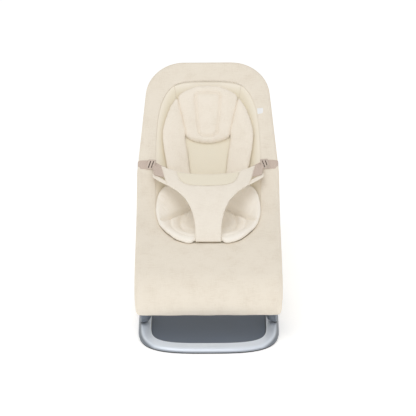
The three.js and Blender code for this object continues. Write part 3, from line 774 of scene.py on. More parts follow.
def seat_cloth():
    """Cover and bucket in one net of points: the cover goes round the side tubes and the head bar."""
    grid = sling_grid()
    s, x = grid[..., 0], grid[..., 1]
    lift = cover_top(s, x)
    rows, columns = s.shape
    crest = np.abs(x) > cover_x(s) - 1e-6
    lift[crest] = CLOTH_RADIUS
    lift[-1] = CLOTH_RADIUS
    points = on_sling(s, x, lift).reshape(-1, 3)
    cloth = np.stack([x, s, lift], -1).reshape(-1, 3)
    cover_faces, bucket_faces = [], []
    for face in quads(rows, columns):
        row, column = divmod(face[0], columns)
        hole = FIRST_HOLE <= row < LAST_HOLE and LEFT_EDGE <= column < RIGHT_EDGE
        (bucket_faces if hole else cover_faces).append(face)
    # the border round the outside: up the left side, along the head and down the right side
    border = [(i, 0) for i in range(rows)] + [(rows - 1, j) for j in range(1, columns)]
    border += [(i, columns - 1) for i in range(rows - 2, -1, -1)]
    at = np.array([(s[i, j], x[i, j]) for i, j in border])
    middle = on_sling(at[:, 0], at[:, 1], 0)
    up = on_sling(at[:, 0], at[:, 1], 1) - middle
    run = np.gradient(middle, axis=0)
    run /= np.linalg.norm(run, axis=1)[:, None]
    out = np.cross(up, run)
    out /= np.linalg.norm(out, axis=1)[:, None]
    turns = np.linspace(0, 1, 15)[1:] * (215 - 55 * np.clip((at_nose(190) - at[:, :1]) / 0.03, 0, 1))
    skirt = wrap(out, up, middle, turns)
    start = len(points)
    ids = [i * columns + j for i, j in border]
    net = np.full((len(border), turns.shape[1] + 1), 0)
    net[:, 0] = ids
    net[:, 1:] = start + np.arange(turns.size).reshape(len(border), -1)
    for i in range(len(border) - 1):
        for j in range(turns.shape[1]):
            cover_faces.append((net[i, j], net[i, j + 1], net[i + 1, j + 1], net[i + 1, j]))
    width = CLOTH_RADIUS * np.radians(turns)
    skirt_cloth = np.stack([
        at[:, 1][:, None] + np.sign(at[:, 1])[:, None] * width,
        np.broadcast_to(at[:, 0][:, None], skirt.shape[:2]),
        np.zeros(skirt.shape[:2]),
    ], -1)
    points = np.vstack([points, skirt.reshape(-1, 3)])
    cloth = np.vstack([cloth, skirt_cloth.reshape(-1, 3)])
    return points, cloth, cover_faces, bucket_faces


def keep_faces(name, points, cloth, faces):
    used = np.unique(np.array(faces).ravel())
    renumber = np.full(len(points), -1)
    renumber[used] = np.arange(len(used))
    obj = make(name, points[used], renumber[np.array(faces)])
    store_cloth(obj, cloth[used])
    return obj


def upright(obj):
    """Turns all faces so that the cloth's upper side looks away from the frame."""
    work = bmesh.new()
    work.from_mesh(obj.data)
    bmesh.ops.recalc_face_normals(work, faces=work.faces)
    top = max(work.faces, key=lambda f: -abs(f.calc_center_median().x) + f.calc_center_median().y * 0.01)
    if top.normal.z < 0:
        bmesh.ops.reverse_faces(work, faces=work.faces)
    work.to_mesh(obj.data)
    work.free()
    return obj


def build_sling():
    points, cloth, cover_faces, bucket_faces = seat_cloth()
    cover = upright(keep_faces("seat_cover_cloth", points, cloth, cover_faces))
    bucket = upright(keep_faces("mesh_bucket_cloth", points, cloth, bucket_faces))
    soften_bucket_edge(bucket)
    drop_bucket_edge(bucket)
    solidify(cover, CLOTH)
    solidify(bucket, MESH_CLOTH)
    finish_piece(cover, "seat", COTTON, "cream_cotton", "seat_cover")
    finish_piece(bucket, "seat", BUCKET_MESH, "cream_mesh", "mesh_bucket")


def soften_bucket_edge(bucket):
    """Marks how far each point is from the bucket's sides and head seam, where the cotton fades into the
    mesh; the cream it fades to is lighter than the cotton, partly painted light on the slope below the seam.
    """
    x, s, _ = off_sling(coordinates(bucket)).T
    inner = np.clip((oval_x(s) - np.abs(x)) / 0.022, 0, 1)
    below_head = np.clip((SEAM_HEAD[0] - s) / 0.024, 0, 1)
    held = bucket.data.attributes.new("mesh_share", "FLOAT", "POINT")
    held.data.foreach_set("value", np.minimum(inner, below_head))


def drop_bucket_edge(bucket):
    """The mesh is sewn under the cover's edge, so its border tucks slightly lower."""
    work = bmesh.new()
    work.from_mesh(bucket.data)
    work.normal_update()
    border = [vertex for vertex in work.verts if vertex.is_boundary]
    at = off_sling([vertex.co for vertex in border])
    for vertex, (_, s, _) in zip(border, at):
        seam = max(s - SEAM_HEAD[0], SEAM_FRONT[0] - s) / 0.012
        vertex.co -= vertex.normal * (0.0003 + 0.0004 * min(1, max(0, 1 + seam)))
    work.to_mesh(bucket.data)
    work.free()


build_sling()

# ---------------------------------------------------------------- padded pieces


def sling_surface(along, x, lift):
    """A point on the back or seat: along is measured from the foot of the straight back, and lift from
    the frame's middle."""
    return on_sling(BACK + np.asarray(along), x, lift)


def bucket_base(along, x):
    return sling_lift(BACK + along, x) + 0.001


def crown(share):
    return np.sqrt(np.clip(1 - (1 - np.clip(share, 0, 1)) ** 2, 0, 1))


def flat_mesh(outline, seams, spacing):
    """Triangles that fill an outline, with the seams among their edges."""
    lines = [(outline, True)] + [(line, closed) for line, closed, *_ in seams]
    points, edges = [], []
    for line, closed in lines:
        first = len(points)
        points.extend(line)
        count = len(line)
        edges += [(first + i, first + (i + 1) % count) for i in range(count if closed else count - 1)]
    low, high = outline.min(0), outline.max(0)
    inner = []
    for row, a in enumerate(np.arange(low[0], high[0], spacing * 0.87)):
        for b in np.arange(low[1] + (row % 2) * spacing / 2, high[1], spacing):
            inner.append((a, b))
    inner = np.array(inner)
    inner = inner[inside(inner, outline)]
    clear = distance_to(inner, outline, True) > spacing * 0.55
    for line, closed, *_ in seams:
        clear &= distance_to(inner, line, closed) > spacing * 0.55
    points = np.vstack([points, inner[clear]])
    found = delaunay_2d_cdt([Vector(p) for p in points], edges, [], 0, 1e-7)
    flat = np.array([tuple(v) for v in found[0]])
    triangles = np.array([f for f in found[2] if len(f) == 3])
    middle = flat[triangles].mean(1)
    return flat, triangles[inside(middle, outline)]


def inflate(obj, pinned, pressure, cap, frames=20):
    """Fills the pad with air by cloth simulation, its seams and underside held."""
    group = obj.vertex_groups.new(name="held")
    group.add([int(i) for i in pinned], 1.0, "REPLACE")
    before = coordinates(obj)
    cloth = obj.modifiers.new("cloth", "CLOTH")
    settings = cloth.settings
    settings.quality = 6
    settings.mass = 0.25
    settings.tension_stiffness = settings.compression_stiffness = 6
    settings.shear_stiffness = 3
    settings.bending_stiffness = 0.3
    settings.use_pressure = True
    settings.uniform_pressure_force = pressure
    settings.vertex_group_mass = group.name
    settings.effector_weights.gravity = 0
    cloth.collision_settings.use_collision = False
    cloth.collision_settings.use_self_collision = False
    cloth.point_cache.frame_start, cloth.point_cache.frame_end = 1, frames
    for index in range(1, frames + 1):
        scene.frame_set(index)
    blown = obj.evaluated_get(bpy.context.evaluated_depsgraph_get())
    after = np.zeros(len(before) * 3)
    blown.data.vertices.foreach_get("co", after)
    move = after.reshape(-1, 3) - before
    length = np.linalg.norm(move, axis=1, keepdims=True)
    move *= np.minimum(1, cap / np.maximum(length, 1e-9))
    obj.modifiers.clear()
    obj.vertex_groups.clear()
    move_to(obj, before + move)
    scene.frame_set(1)


def padding(name, surface, base, outline, rise, seams=(), edge=0.013, hem=0.35, spacing=0.0045,
            pressure=0.0, cap=0.004, puckers=0.0, sag=None):
    """A closed padded form on a surface. Seams are (line, closed, depth, width), in (along, x)."""
    outline = np.asarray(outline, float)
    flat, triangles = flat_mesh(outline, seams, spacing)
    from_edge = distance_to(flat, outline, True)
    body = crown(from_edge / edge)
    dip = np.zeros(len(flat))
    ripple = np.zeros(len(flat))
    on_seam = from_edge < 1e-6
    for line, closed, depth, width in seams:
        gap = distance_to(flat, line, closed)
        dip = np.maximum(dip, depth * np.exp(-((gap / width) ** 2)))
        on_seam |= gap < 1e-6
        ripple += np.exp(-gap / 0.009) * (gap > 1e-6)
    ripple += np.exp(-from_edge / 0.010) * (from_edge > 1e-6)
    a, x = flat.T
    wave = np.sin(430 * a + 6 * np.sin(61 * x)) * np.sin(397 * x + 5 * np.sin(47 * a))
    low = base(a, x)
    thick = rise(a, x) if callable(rise) else np.full(len(a), rise)
    top = low + thick * (hem + (1 - hem) * body) * (1 - dip * body) + puckers * ripple * wave * body
    under = low + thick * hem * (1 - body)
    if sag is not None:
        top, under = top + sag(a, x), under + sag(a, x)
    rim = from_edge < 1e-6
    number = np.full(len(flat), -1)
    number[~rim] = len(flat) + np.arange((~rim).sum())
    number[rim] = np.flatnonzero(rim)
    points = np.vstack([surface(a, x, top), surface(a[~rim], x[~rim], under[~rim])])
    faces = np.vstack([triangles, number[triangles][:, ::-1]])
    obj = make(name, points, faces)
    cloth = np.stack([x, a, top], -1)
    store_cloth(obj, np.vstack([cloth, cloth[~rim]]))
    tidy_mesh(obj, 1e-7)
    if pressure:
        held = np.concatenate([np.flatnonzero(on_seam), np.arange(len(flat), len(points))])
        inflate(obj, held, pressure, cap)
    subdivide(obj, 1)
    return obj


def mirrored(half):
    """A closed outline from its right half, listed from the middle line round to it."""
    half = [tuple(p) for p in half]
    return half + [(a, -x) for a, x in half[::-1] if abs(x) > 1e-9]


def flipped(points, side):
    return [(a, x * side) for a, x in points]


SEAT_PAD = [(0.012, 0), (0.012, 0.055), (0.010, 0.105), (-0.004, 0.133), (-0.041, 0.150), (-0.103, 0.1565),
            (-0.150, 0.151), (-0.182, 0.142), (-0.2120, 0.124), (-0.2470, 0.096), (-0.2625, 0.070),
            (-0.2660, 0.056), (-0.2640, 0.047), (-0.2540, 0.039), (-0.2470, 0.022), (-0.2460, 0)]
PILLOW = [(0.3275, 0), (0.3235, 0.036), (0.309, 0.0705), (0.2925, 0.0890), (0.270, 0.0905), (0.220, 0.0790),
          (0.175, 0.0690), (0.1625, 0.0640), (0.152, 0.045), (0.1455, 0.015), (0.1448, 0)]
WING = [(0.018, 0.047), (0.0513, 0.0525), (0.110, 0.0597), (0.1600, 0.0665), (0.1800, 0.0640),
        (0.220, 0.0725), (0.268, 0.0845), (0.286, 0.0935), (0.268, 0.1080), (0.2455, 0.119), (0.194, 0.134),
        (0.150, 0.1375), (0.078, 0.127), (0.030, 0.115), (0.015, 0.085)]
CHANNEL = [(0.175, 0), (0.175, 0.072), (0.110, 0.0625), (0.050, 0.0555), (0.010, 0.050), (0.010, 0)]


def pad_rise(along, x):
    """The seat pad is fullest in its two side bolsters."""
    bolster = np.exp(-(((np.abs(x) - 0.098) / 0.038) ** 2) - ((along + 0.065) / 0.065) ** 2)
    front = np.exp(-(((along + 0.215) / 0.030) ** 2))
    return 0.015 + 0.018 * bolster + 0.004 * front


def build_insert():
    crease = [[(-0.056, 0.050), (-0.080, 0.078), (-0.112, 0.108), (-0.150, 0.137)]]
    arcs = [[(-0.085, 0.078), (-0.135, 0.083), (-0.180, 0.066), (-0.198, 0.040), (-0.204, 0.018),
             (-0.205, 0)],
            [(-0.118, 0.112), (-0.165, 0.108), (-0.210, 0.084), (-0.234, 0.052), (-0.241, 0.022),
             (-0.242, 0)]]
    seams = []
    for line in crease:
        for side in (1, -1):
            seams.append((spline(flipped(line, side), 0.0045, False), False, 0.75, 0.0042))
    for depth, line in zip((0.34, 0.28), arcs):
        whole = line + [(a, -x) for a, x in line[::-1][1:]]
        seams.append((spline(whole, 0.0045, False), False, depth, 0.0045))
    pad = padding("seat_pad_cushion", sling_surface, bucket_base, spline(mirrored(SEAT_PAD), 0.0045),
                  pad_rise, seams, edge=0.016, hem=0.34, pressure=3.0, cap=0.004, puckers=0.0007)
    finish_piece(pad, "seat", PAD_QUILT_LIT, "quilted_cotton", "seat_pad")

    stitch = rounded([(0.301, -0.040), (0.301, 0.040), (0.164, 0.0265), (0.164, -0.0265)], 0.02, 7)
    pillow = padding("head_pillow_cushion", sling_surface, bucket_base, spline(mirrored(PILLOW), 0.0045),
                     0.021, [(spline(stitch, 0.0045), True, 0.36, 0.0035)], edge=0.016, hem=0.45,
                     pressure=3.0, cap=0.004, puckers=0.0006)
    finish_piece(pillow, "seat", QUILT, "quilted_cotton", "head_pillow")

    panel = padding("insert_mesh_channel", sling_surface, bucket_base, spline(mirrored(CHANNEL), 0.0055),
                    0.0035, edge=0.004)
    finish_piece(panel, "seat", MESH, "cream_mesh", "insert_mesh_panel")

    for name, side in SIDES:
        wing = padding(f"insert_wing_cushion_{name}", sling_surface, bucket_base,
                       spline(flipped(WING, side), 0.0045), 0.0175, edge=0.015, hem=0.45,
                       pressure=3.0, cap=0.004, puckers=0.0006)
        finish_piece(wing, "seat", QUILT, "quilted_cotton", f"insert_wing_{name}")


build_insert()

# ---------------------------------------------------------------- bib

BIB_LINE = np.array([(0.226, 0.2558), (0.310, 0.338), (0.440, 0.367)]) + (FOOT_Y, 0)
BIB_REACH = 0.050
BIB_THICK = 0.0078


def bib_table():
    u = np.linspace(0, 1, 300)[:, None]
    first, bend, last = BIB_LINE
    points = first * (1 - u) ** 2 + 2 * bend * u * (1 - u) + last * u * u
    run = np.concatenate([[0], np.cumsum(np.linalg.norm(np.diff(points, axis=0), axis=1))])
    ahead = np.gradient(points, run, axis=0)
    ahead /= np.linalg.norm(ahead, axis=1)[:, None]
    return run, u[:, 0], points, ahead


BIB_RUN, BIB_SHARE, BIB_POINTS, BIB_AHEAD = bib_table()


def bib_surface(along, x, lift):
    """A point on the bib: along from the crotch seam, its sides swept back towards the straps."""
    along, x, lift = np.broadcast_arrays(*(np.asarray(v, float) for v in (along, x, lift)))
    share, y, z, ty, tz = (np.interp(along, BIB_RUN, v) for v in (BIB_SHARE, *BIB_POINTS.T, *BIB_AHEAD.T))
    past = along - np.clip(along, 0, BIB_RUN[-1])
    y = y + ty * past + BIB_REACH * (x / 0.14) ** 2 * share
    return np.stack([x, y - tz * lift, z + tz * past + ty * lift], -1)


BIB = [(-0.0105, 0), (-0.0105, 0.0385), (0.035, 0.0395), (0.0713, 0.0448), (0.099, 0.0527), (0.1285, 0.0665),
       (0.155, 0.0900), (0.1750, 0.1222)]
BIB_TOP = [(0.2490, 0.1435), (0.2415, 0.0960), (0.2400, 0.0500), (0.2392, 0)]
BIB_MESH = [(0.1835, 0), (0.1830, 0.040), (0.1850, 0.060), (0.1920, 0.0765), (0.2050, 0.0865),
            (0.2360, 0.0970)]


def bib_outline():
    side = spline(BIB[1:], 0.0045, False)
    top = spline(BIB_TOP, 0.0045, False)
    half = np.vstack([[BIB[0]], side, top])
    half[0, 1] = 0
    steps = np.linspace(0, BIB[1][1], 9)[:-1]
    bottom = np.stack([np.full(8, BIB[0][0]), steps], -1)
    half = np.vstack([bottom, side, even_line(side[-1], top[0], 0.0045)[1:-1], top])
    return np.array(mirrored(half))


def even_line(first, last, step):
    count = max(2, round(float(np.linalg.norm(np.subtract(last, first))) / step) + 1)
    return np.linspace(first, last, count)


def build_bib():
    outline = bib_outline()
    inset = spline(BIB_MESH, 0.0045, False)
    whole = np.vstack([inset[::-1], [(a, -x) for a, x in inset[1:]]])
    closed = np.vstack([whole, even_line(whole[-1], whole[0], 0.0045)[1:-1]])
    inner = inset_line(outline, 0.0065)
    tack = even_line((0.013, -0.030), (0.013, 0.030), 0.0045)
    bib = padding("bib_cloth", bib_surface, lambda a, x: np.zeros(len(a)), outline,
                  lambda a, x: BIB_THICK - 0.0016 * inside(np.stack([a, x], -1), closed),
                  [(closed, True, 0.26, 0.0022), (inner, True, 0.13, 0.0016), (tack, False, 0.12, 0.0016)],
                  edge=0.0055, hem=0.45, spacing=0.004, puckers=0.00025)
    bib.data.materials.append(BIB_CLOTH)
    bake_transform(bib)
    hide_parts("bib")
    small = inset_line(closed, 0.0012)
    patch = padding("bib_mesh_inset", bib_surface, lambda a, x: np.full(len(a), BIB_THICK - 0.0019), small,
                    0.0018, edge=0.003, spacing=0.0045)
    finish_piece(patch, "bib", MESH, "cream_mesh")


def inset_line(line, inset):
    """A closed line moved inwards."""
    line = np.asarray(line, float)
    ahead = np.roll(line, -1, 0) - np.roll(line, 1, 0)
    ahead /= np.linalg.norm(ahead, axis=1)[:, None]
    side = np.stack([-ahead[:, 1], ahead[:, 0]], -1)
    area = 0.5 * np.sum(line[:, 0] * np.roll(line[:, 1], -1) - line[:, 1] * np.roll(line[:, 0], -1))
    moved = line + side * inset * (1 if area > 0 else -1)
    return moved[distance_to(moved, line, True) > inset * 0.93]


build_bib()

# ---------------------------------------------------------------- straps, adjusters, tag and darts

STRAP_AT = 0.060
STRAP_WIDTH = 0.0290
TAPE_THICK = 0.0018


def tape_section(width, thick):
    edge = thick * 0.45
    return rounded([(-width / 2, -thick / 2), (width / 2, -thick / 2), (width / 2, thick / 2),
                    (-width / 2, thick / 2)], edge, 3)


def store_tape(obj, along_axis_points, across):
    """Cloth coordinates of a tape: across its width, and along its run."""
    co = coordinates(obj)
    path = np.asarray(along_axis_points, float)
    run = np.concatenate([[0], np.cumsum(np.linalg.norm(np.diff(path, axis=0), axis=1))])
    near = np.argmin(((co[:, None] - path[None]) ** 2).sum(2), axis=1)
    store_cloth(obj, np.stack([co @ np.asarray(across, float), run[near], np.zeros(len(co))], -1))


def strap_path(side):
    """Across the cover from the adjuster, over the side tube and back under it."""
    s = BACK + STRAP_AT
    middle = float(frame_x(s))
    radius = CLOTH_RADIUS + TAPE_THICK * 0.62
    rise = TAPE_THICK * 0.62
    across = np.linspace(0.179, middle - 0.004, 5)
    flat = [(x, max(CLOTH_RADIUS, float(cover_top(s, x))) + rise) for x in across]
    turns = np.radians(np.linspace(0, 205, 22))
    ring = [(middle + radius * math.sin(t), radius * math.cos(t)) for t in turns]
    return [(x * side, lift) for x, lift in flat + ring]


def build_strap(name, side):
    path = strap_path(side)
    s = BACK + STRAP_AT
    points = np.array([on_sling(s, x, lift) for x, lift in path])
    ahead = np.gradient(points, axis=0)
    along = np.array([0, *AHEAD[-1]])
    up = np.cross(along, ahead) * side
    up /= np.linalg.norm(up, axis=1)[:, None]
    strap = sweep(f"strap_tape_{name}", points, tape_section(STRAP_WIDTH, TAPE_THICK), up=up)
    store_tape(strap, points, along)
    finish_piece(strap, "seat", TAPE, "beige_webbing", f"strap_{name}")


def slab(name, surface, outline, low, high, holes=(), edge=0.0008, spacing=0.004):
    """A flat plate on a surface, with real holes and softened edges."""
    outline = np.asarray(outline, float)
    flat, triangles = flat_mesh(outline, [(hole, True) for hole in holes], spacing)
    for hole in holes:
        triangles = triangles[~inside(flat[triangles].mean(1), hole)]
    a, x = flat.T
    low = low(a, x) if callable(low) else low
    high = high(a, x) if callable(high) else high
    points = np.vstack([surface(a, x, high), surface(a, x, low)])
    count = len(flat)
    sides = set()
    for t in triangles:
        for i in range(3):
            one, two = int(t[i]), int(t[(i + 1) % 3])
            if (two, one) in sides:
                sides.remove((two, one))
            else:
                sides.add((one, two))
    walls = [(one, one + count, two + count, two) for one, two in sorted(sides)]
    faces = [tuple(t) for t in triangles] + [tuple(t[::-1] + count) for t in triangles] + walls
    obj = tidy_mesh(make(name, points, faces), 1e-7)
    drop_loose(obj)
    store_cloth(obj)
    return bevel(obj, edge, 2, 50) if edge else obj


def drop_loose(obj):
    work = bmesh.new()
    work.from_mesh(obj.data)
    bmesh.ops.delete(work, geom=[v for v in work.verts if not v.link_faces], context="VERTS")
    bmesh.ops.dissolve_limit(work, angle_limit=math.radians(0.5), verts=work.verts, edges=work.edges)
    bmesh.ops.recalc_face_normals(work, faces=work.faces)
    work.to_mesh(obj.data)
    work.free()


def build_adjuster(name, side):
    """A flat two-slot adjuster, its slots slanted to the strap's pull."""
    frame_line = [(STRAP_AT - 0.0165, 0.1625), (STRAP_AT + 0.0150, 0.1550), (STRAP_AT + 0.0165, 0.1785),
                  (STRAP_AT - 0.0150, 0.1865)]
    holes = []
    for middle, half in ((0.1662, 0.0112), (0.1752, 0.0118)):
        low, high = STRAP_AT - half - 0.0004, STRAP_AT + half
        lean = -0.0038
        corners = [(low, middle - lean - 0.0014), (high, middle + lean - 0.0014),
                   (high, middle + lean + 0.0014), (low, middle - lean + 0.0014)]
        holes.append(rounded(flipped(corners, side), 0.0009, 3))
    outline = rounded(flipped(frame_line, side), 0.0035, 5)
    plate = slab(f"strap_adjuster_plate_{name}", sling_surface, outline, CLOTH_RADIUS + 0.0018,
                 CLOTH_RADIUS + 0.0052, holes, edge=0.0007)
    finish_piece(plate, "seat", BUCKLE, "beige_plastic", f"strap_adjuster_{name}")
    # a dark strip under the slots is painted shadow, so the slots read deep
    inner_line = [(STRAP_AT - 0.0140, 0.1640), (STRAP_AT + 0.0130, 0.1580), (STRAP_AT + 0.0135, 0.1770),
                  (STRAP_AT - 0.0135, 0.1840)]
    slot_shadow_line = rounded(flipped(inner_line, side), 0.002, 3)
    tape = slab(f"adjuster_slot_shadow_{name}", sling_surface, slot_shadow_line, CLOTH_RADIUS + 0.0006,
                CLOTH_RADIUS + 0.0017, edge=0)
    finish_piece(tape, "seat", SHADE_TAPE, "beige_webbing")


def build_keeper(name, side):
    """The webbing that runs from the adjuster under the bib's wing, and the cream flap below it."""
    tape_corners = [(0.2520, 0.1700), (0.2490, 0.1300), (0.2050, 0.1180), (0.1985, 0.1605)]
    tape_line = rounded(flipped(tape_corners, side), 0.003, 4)
    rise = lambda a, x: 0.0015 + 0.0062 * np.clip((np.abs(x) - 0.125) / 0.04, 0, 1)
    tape = slab(f"bib_keeper_tape_{name}", bib_surface, tape_line, lambda a, x: rise(a, x) - 0.0008,
                lambda a, x: rise(a, x) + 0.0008, edge=0.0004)
    finish_piece(tape, "bib", TAPE, "beige_webbing", f"bib_keeper_{name}")
    flap_line = rounded(flipped([(0.2060, 0.1665), (0.1990, 0.1400), (0.1900, 0.1150), (0.1740, 0.1180),
                                 (0.1800, 0.1350), (0.1900, 0.1660)], side), 0.003, 4)
    flap_line = spline(flap_line, 0.003)
    flap = padding(f"bib_under_flap_{name}", bib_surface,
                   lambda a, x: -0.0004 + 0.0035 * np.clip((np.abs(x) - 0.125) / 0.04, 0, 1), flap_line,
                   0.0022, edge=0.0025, hem=0.5, spacing=0.003)
    finish_piece(flap, "bib", BIB_CLOTH, "quilted_cotton")


def build_tag():
    corners = [(0.2290, 0.1495), (0.2500, 0.1480), (0.2515, 0.1680), (0.2300, 0.1690)]
    outline = spline(rounded(corners, 0.0018, 4), 0.0022)
    inner = inset_line(outline, 0.0022)
    tag = padding("blank_side_tag", sling_surface, lambda a, x: sling_lift(BACK + a, x) + 0.0009, outline,
                  0.0016, [(inner, True, 0.35, 0.0006)], edge=0.0014, hem=0.4, spacing=0.0025)
    finish_piece(tag, "seat", LABEL, "white_label", "side_tag")


def build_darts():
    for name, side in SIDES:
        along = np.linspace(SEAM_HEAD[0] + 0.004, SEAM_HEAD[0] - 0.050, 26)
        x = np.interp(along, (SEAM_HEAD[0] - 0.050, SEAM_HEAD[0] + 0.004), (0.0940, 0.1022)) * side
        lift = sling_lift(along, x) + np.where(along > SEAM_HEAD[0], 0.0004, 0.0002)
        points = on_sling(along, x, lift)
        dart = sweep(f"dart_seam_{name}", points, circle(0.0009, 8), up=(1, 0, 0))
        store_cloth(dart)
        finish_piece(dart, "seat", BINDING, "cream_cotton")


# dark webbing colours: painted shadow seen through the adjuster slots
SHADE_TAPE = webbing("painted_slot_shadow", srgb(96, 82, 72), srgb(70, 58, 50))
for name, side in SIDES:
    build_strap(name, side)
    build_adjuster(name, side)
    build_keeper(name, side)
build_tag()
build_darts()

# ---------------------------------------------------------------- base, hubs and tubes

BASE_X, NOSE_DEPTH, BASE_POWER, ARM_END = 0.2025, 0.155, 3.3, 0.300
RIM_SECTION = [(-0.0024, 0.0036), (-0.0028, 0.0050), (-0.0018, 0.0072), (0.0012, 0.0102), (0.0050, 0.0128),
               (0.0094, 0.0145), (0.0146, 0.0153), (0.0220, 0.0157), (0.0280, 0.0159), (0.0333, 0.0159),
               (0.0345, 0.0156), (0.0349, 0.0149), (0.0350, 0.0140), (0.0350, 0.0062), (0.0354, 0.0058),
               (0.0516, 0.0058), (0.0520, 0.0054), (0.0520, 0.0035)]


def rim_line(count=150):
    """The base's outer edge, round from the end of one arm to the other, in the floor's plane."""
    turn = np.linspace(-math.pi / 2, math.pi / 2, count)
    power = 2 / BASE_POWER
    x = BASE_X * np.sign(np.sin(turn)) * np.abs(np.sin(turn)) ** power
    y = NOSE_DEPTH * (1 - np.abs(np.cos(turn)) ** power)
    curve = np.stack([x, y], -1)
    arm = np.linspace(ARM_END, NOSE_DEPTH, 26)[:-1]
    line = np.vstack([[(-BASE_X, y) for y in arm], curve, [(BASE_X, y) for y in arm[::-1]]])
    run = np.concatenate([[0], np.cumsum(np.linalg.norm(np.diff(line, axis=0), axis=1))])
    steady = np.linspace(0, run[-1], 230)
    line = np.stack([np.interp(steady, run, line[:, k]) for k in (0, 1)], -1)
    return line + (0, FOOT_Y)


def inward(line):
    ahead = np.gradient(line, axis=0)
    ahead /= np.linalg.norm(ahead, axis=1)[:, None]
    return np.stack([-ahead[:, 1], ahead[:, 0]], -1)


def along_rim(name, section, line):
    inner = inward(line)
    section = np.asarray(section, float)
    points = line[:, None] + inner[:, None] * section[None, :, :1]
    height = np.broadcast_to(section[None, :, 1:], (*points.shape[:2], 1))
    points = np.concatenate([points, height], -1)
    rows, columns = points.shape[:2]
    faces = quads(rows, columns, ring=True)
    faces += [tuple(range(columns)), tuple(range((rows - 1) * columns, rows * columns))[::-1]]
    return tidy_mesh(make(name, points.reshape(-1, 3), faces))


def weighted(obj):
    keep = obj.modifiers.new("normals", "WEIGHTED_NORMAL")
    keep.keep_sharp = True
    return bake_modifiers(obj)


def soften(node, width, angle=32, segments=3):
    """A copy of a hard CAD piece with its edges rounded over."""
    obj = link(node + "_finished", nodes[node].data.copy())
    work = bmesh.new()
    work.from_mesh(obj.data)
    bmesh.ops.remove_doubles(work, verts=work.verts, dist=2e-5)
    bmesh.ops.dissolve_limit(work, angle_limit=math.radians(1), verts=work.verts, edges=work.edges)
    work.to_mesh(obj.data)
    work.free()
    bevel(obj, width, segments, angle)
    return weighted(obj)


def lathe(name, profile, centre, side, count=72):
    """Turns (radius, x) points round a cross-wise axis through centre."""
    turn = np.linspace(0, 2 * math.pi, count, endpoint=False)
    profile = np.asarray(profile, float)
    points = np.stack([
        np.broadcast_to(profile[:, 1:] * side, (len(profile), count)),
        centre[0] + profile[:, :1] * np.cos(turn),
        centre[1] + profile[:, :1] * np.sin(turn),
    ], -1)
    faces = quads(len(profile) + 1, count, ring=True)
    faces = [tuple(k % (len(profile) * count) for k in face) for face in faces]
    return tidy_mesh(make(name, points.reshape(-1, 3), faces), 1e-6)


def widen_plate(plate, extra):
    """The plate fills the rim up to its inner wall."""
    points = coordinates(plate)
    front, rear = points[:, 1].min(), points[:, 1].max()
    points[:, 0] *= 1 + extra / np.abs(points[:, 0]).max()
    points[:, 1] -= extra * (rear - points[:, 1]) / (rear - front)
    move_to(plate, points)


HUB_RADIUS, HUB_FACE, HUB_DEPTH = 0.0345, 0.1996, 0.0336
HUB_SLOT, HUB_SLOT_RADIUS = (0.1745, 0.1925), 0.0275
# top of the dark ring of painted shadow under each hub
SHADOW_RING_TOP = 0.0186


def hub_radius(x):
    """The hub's round shell narrows inwards from its face."""
    return HUB_RADIUS * (1 - ((HUB_FACE - x) / HUB_DEPTH) ** 2.6) ** (1 / 2.6)


def carve(obj, cutter):
    cut = obj.modifiers.new("cut", "BOOLEAN")
    cut.operation = "DIFFERENCE"
    cut.solver = "EXACT"
    cut.object = cutter
    bake_modifiers(obj)
    bpy.data.objects.remove(cutter)
    return obj


def hub_housing(name, side):
    """A round shell, open inside for the knuckle and towards the back for the arm's swing."""
    steps = np.linspace(0.1668, 0.1919, 22)
    line = [(0.0, 0.1668)] + [(hub_radius(x), x) for x in steps] + [(0.0, 0.1919)]
    shell = lathe(f"hub_housing_shell_{name}", line, HUB, side, 80)
    inner, outer = HUB_SLOT
    pocket = [(0, inner), (HUB_SLOT_RADIUS, inner), (HUB_SLOT_RADIUS, outer), (0, outer)]
    carve(shell, lathe("cutter", pocket, HUB, side, 48))
    swing = ARM_ANGLE - 90
    fan = [HUB] + [HUB + polar(a) * 0.06 for a in np.linspace(swing - 58, swing + 19, 12)]
    ends = [np.array([(x * side, *p) for p in fan]) for x in HUB_SLOT]
    count = len(fan)
    faces = quads(2, count, ring=True) + [tuple(range(count)), tuple(range(count, 2 * count))[::-1]]
    carve(shell, tidy_mesh(make("cutter", np.vstack(ends), faces)))
    bevel(shell, 0.0006, 2, 45)
    return weighted(shell)


def hub_shadow_ring(name, side):
    """A dark ring between the hub's underside and the rim: painted shadow in the gap between them."""
    x = np.linspace(0.1745, 0.1990, 30)
    reach = np.arccos(np.clip((HUB[1] - SHADOW_RING_TOP) / hub_radius(x), 0, 0.999))[:, None]
    turn = reach * np.linspace(-1, 1, 60) - math.pi / 2
    fade = np.sin(np.linspace(0, math.pi, 60)) ** 0.35
    rows = []
    for grow in (0.0030, -0.0010):
        radius = (hub_radius(x)[:, None] + grow * fade[None] - 0.0002)
        rows.append(np.stack([
            np.broadcast_to(x[:, None] * side, radius.shape),
            HUB[0] + radius * np.cos(turn),
            HUB[1] + radius * np.sin(turn),
        ], -1))
    outer, inner = rows
    count = turn.size
    net = quads(30, 60)
    faces = net + [tuple(k + count for k in f[::-1]) for f in net]
    border = [i * 60 for i in range(30)] + [29 * 60 + j for j in range(1, 60)]
    border += [i * 60 + 59 for i in range(28, -1, -1)] + list(range(58, 0, -1))
    for one, two in zip(border, border[1:] + border[:1]):
        faces.append((two, one, one + count, two + count))
    points = np.vstack([outer.reshape(-1, 3), inner.reshape(-1, 3)])
    return tidy_mesh(make(f"hub_painted_shadow_{name}", points, faces), 1e-6)


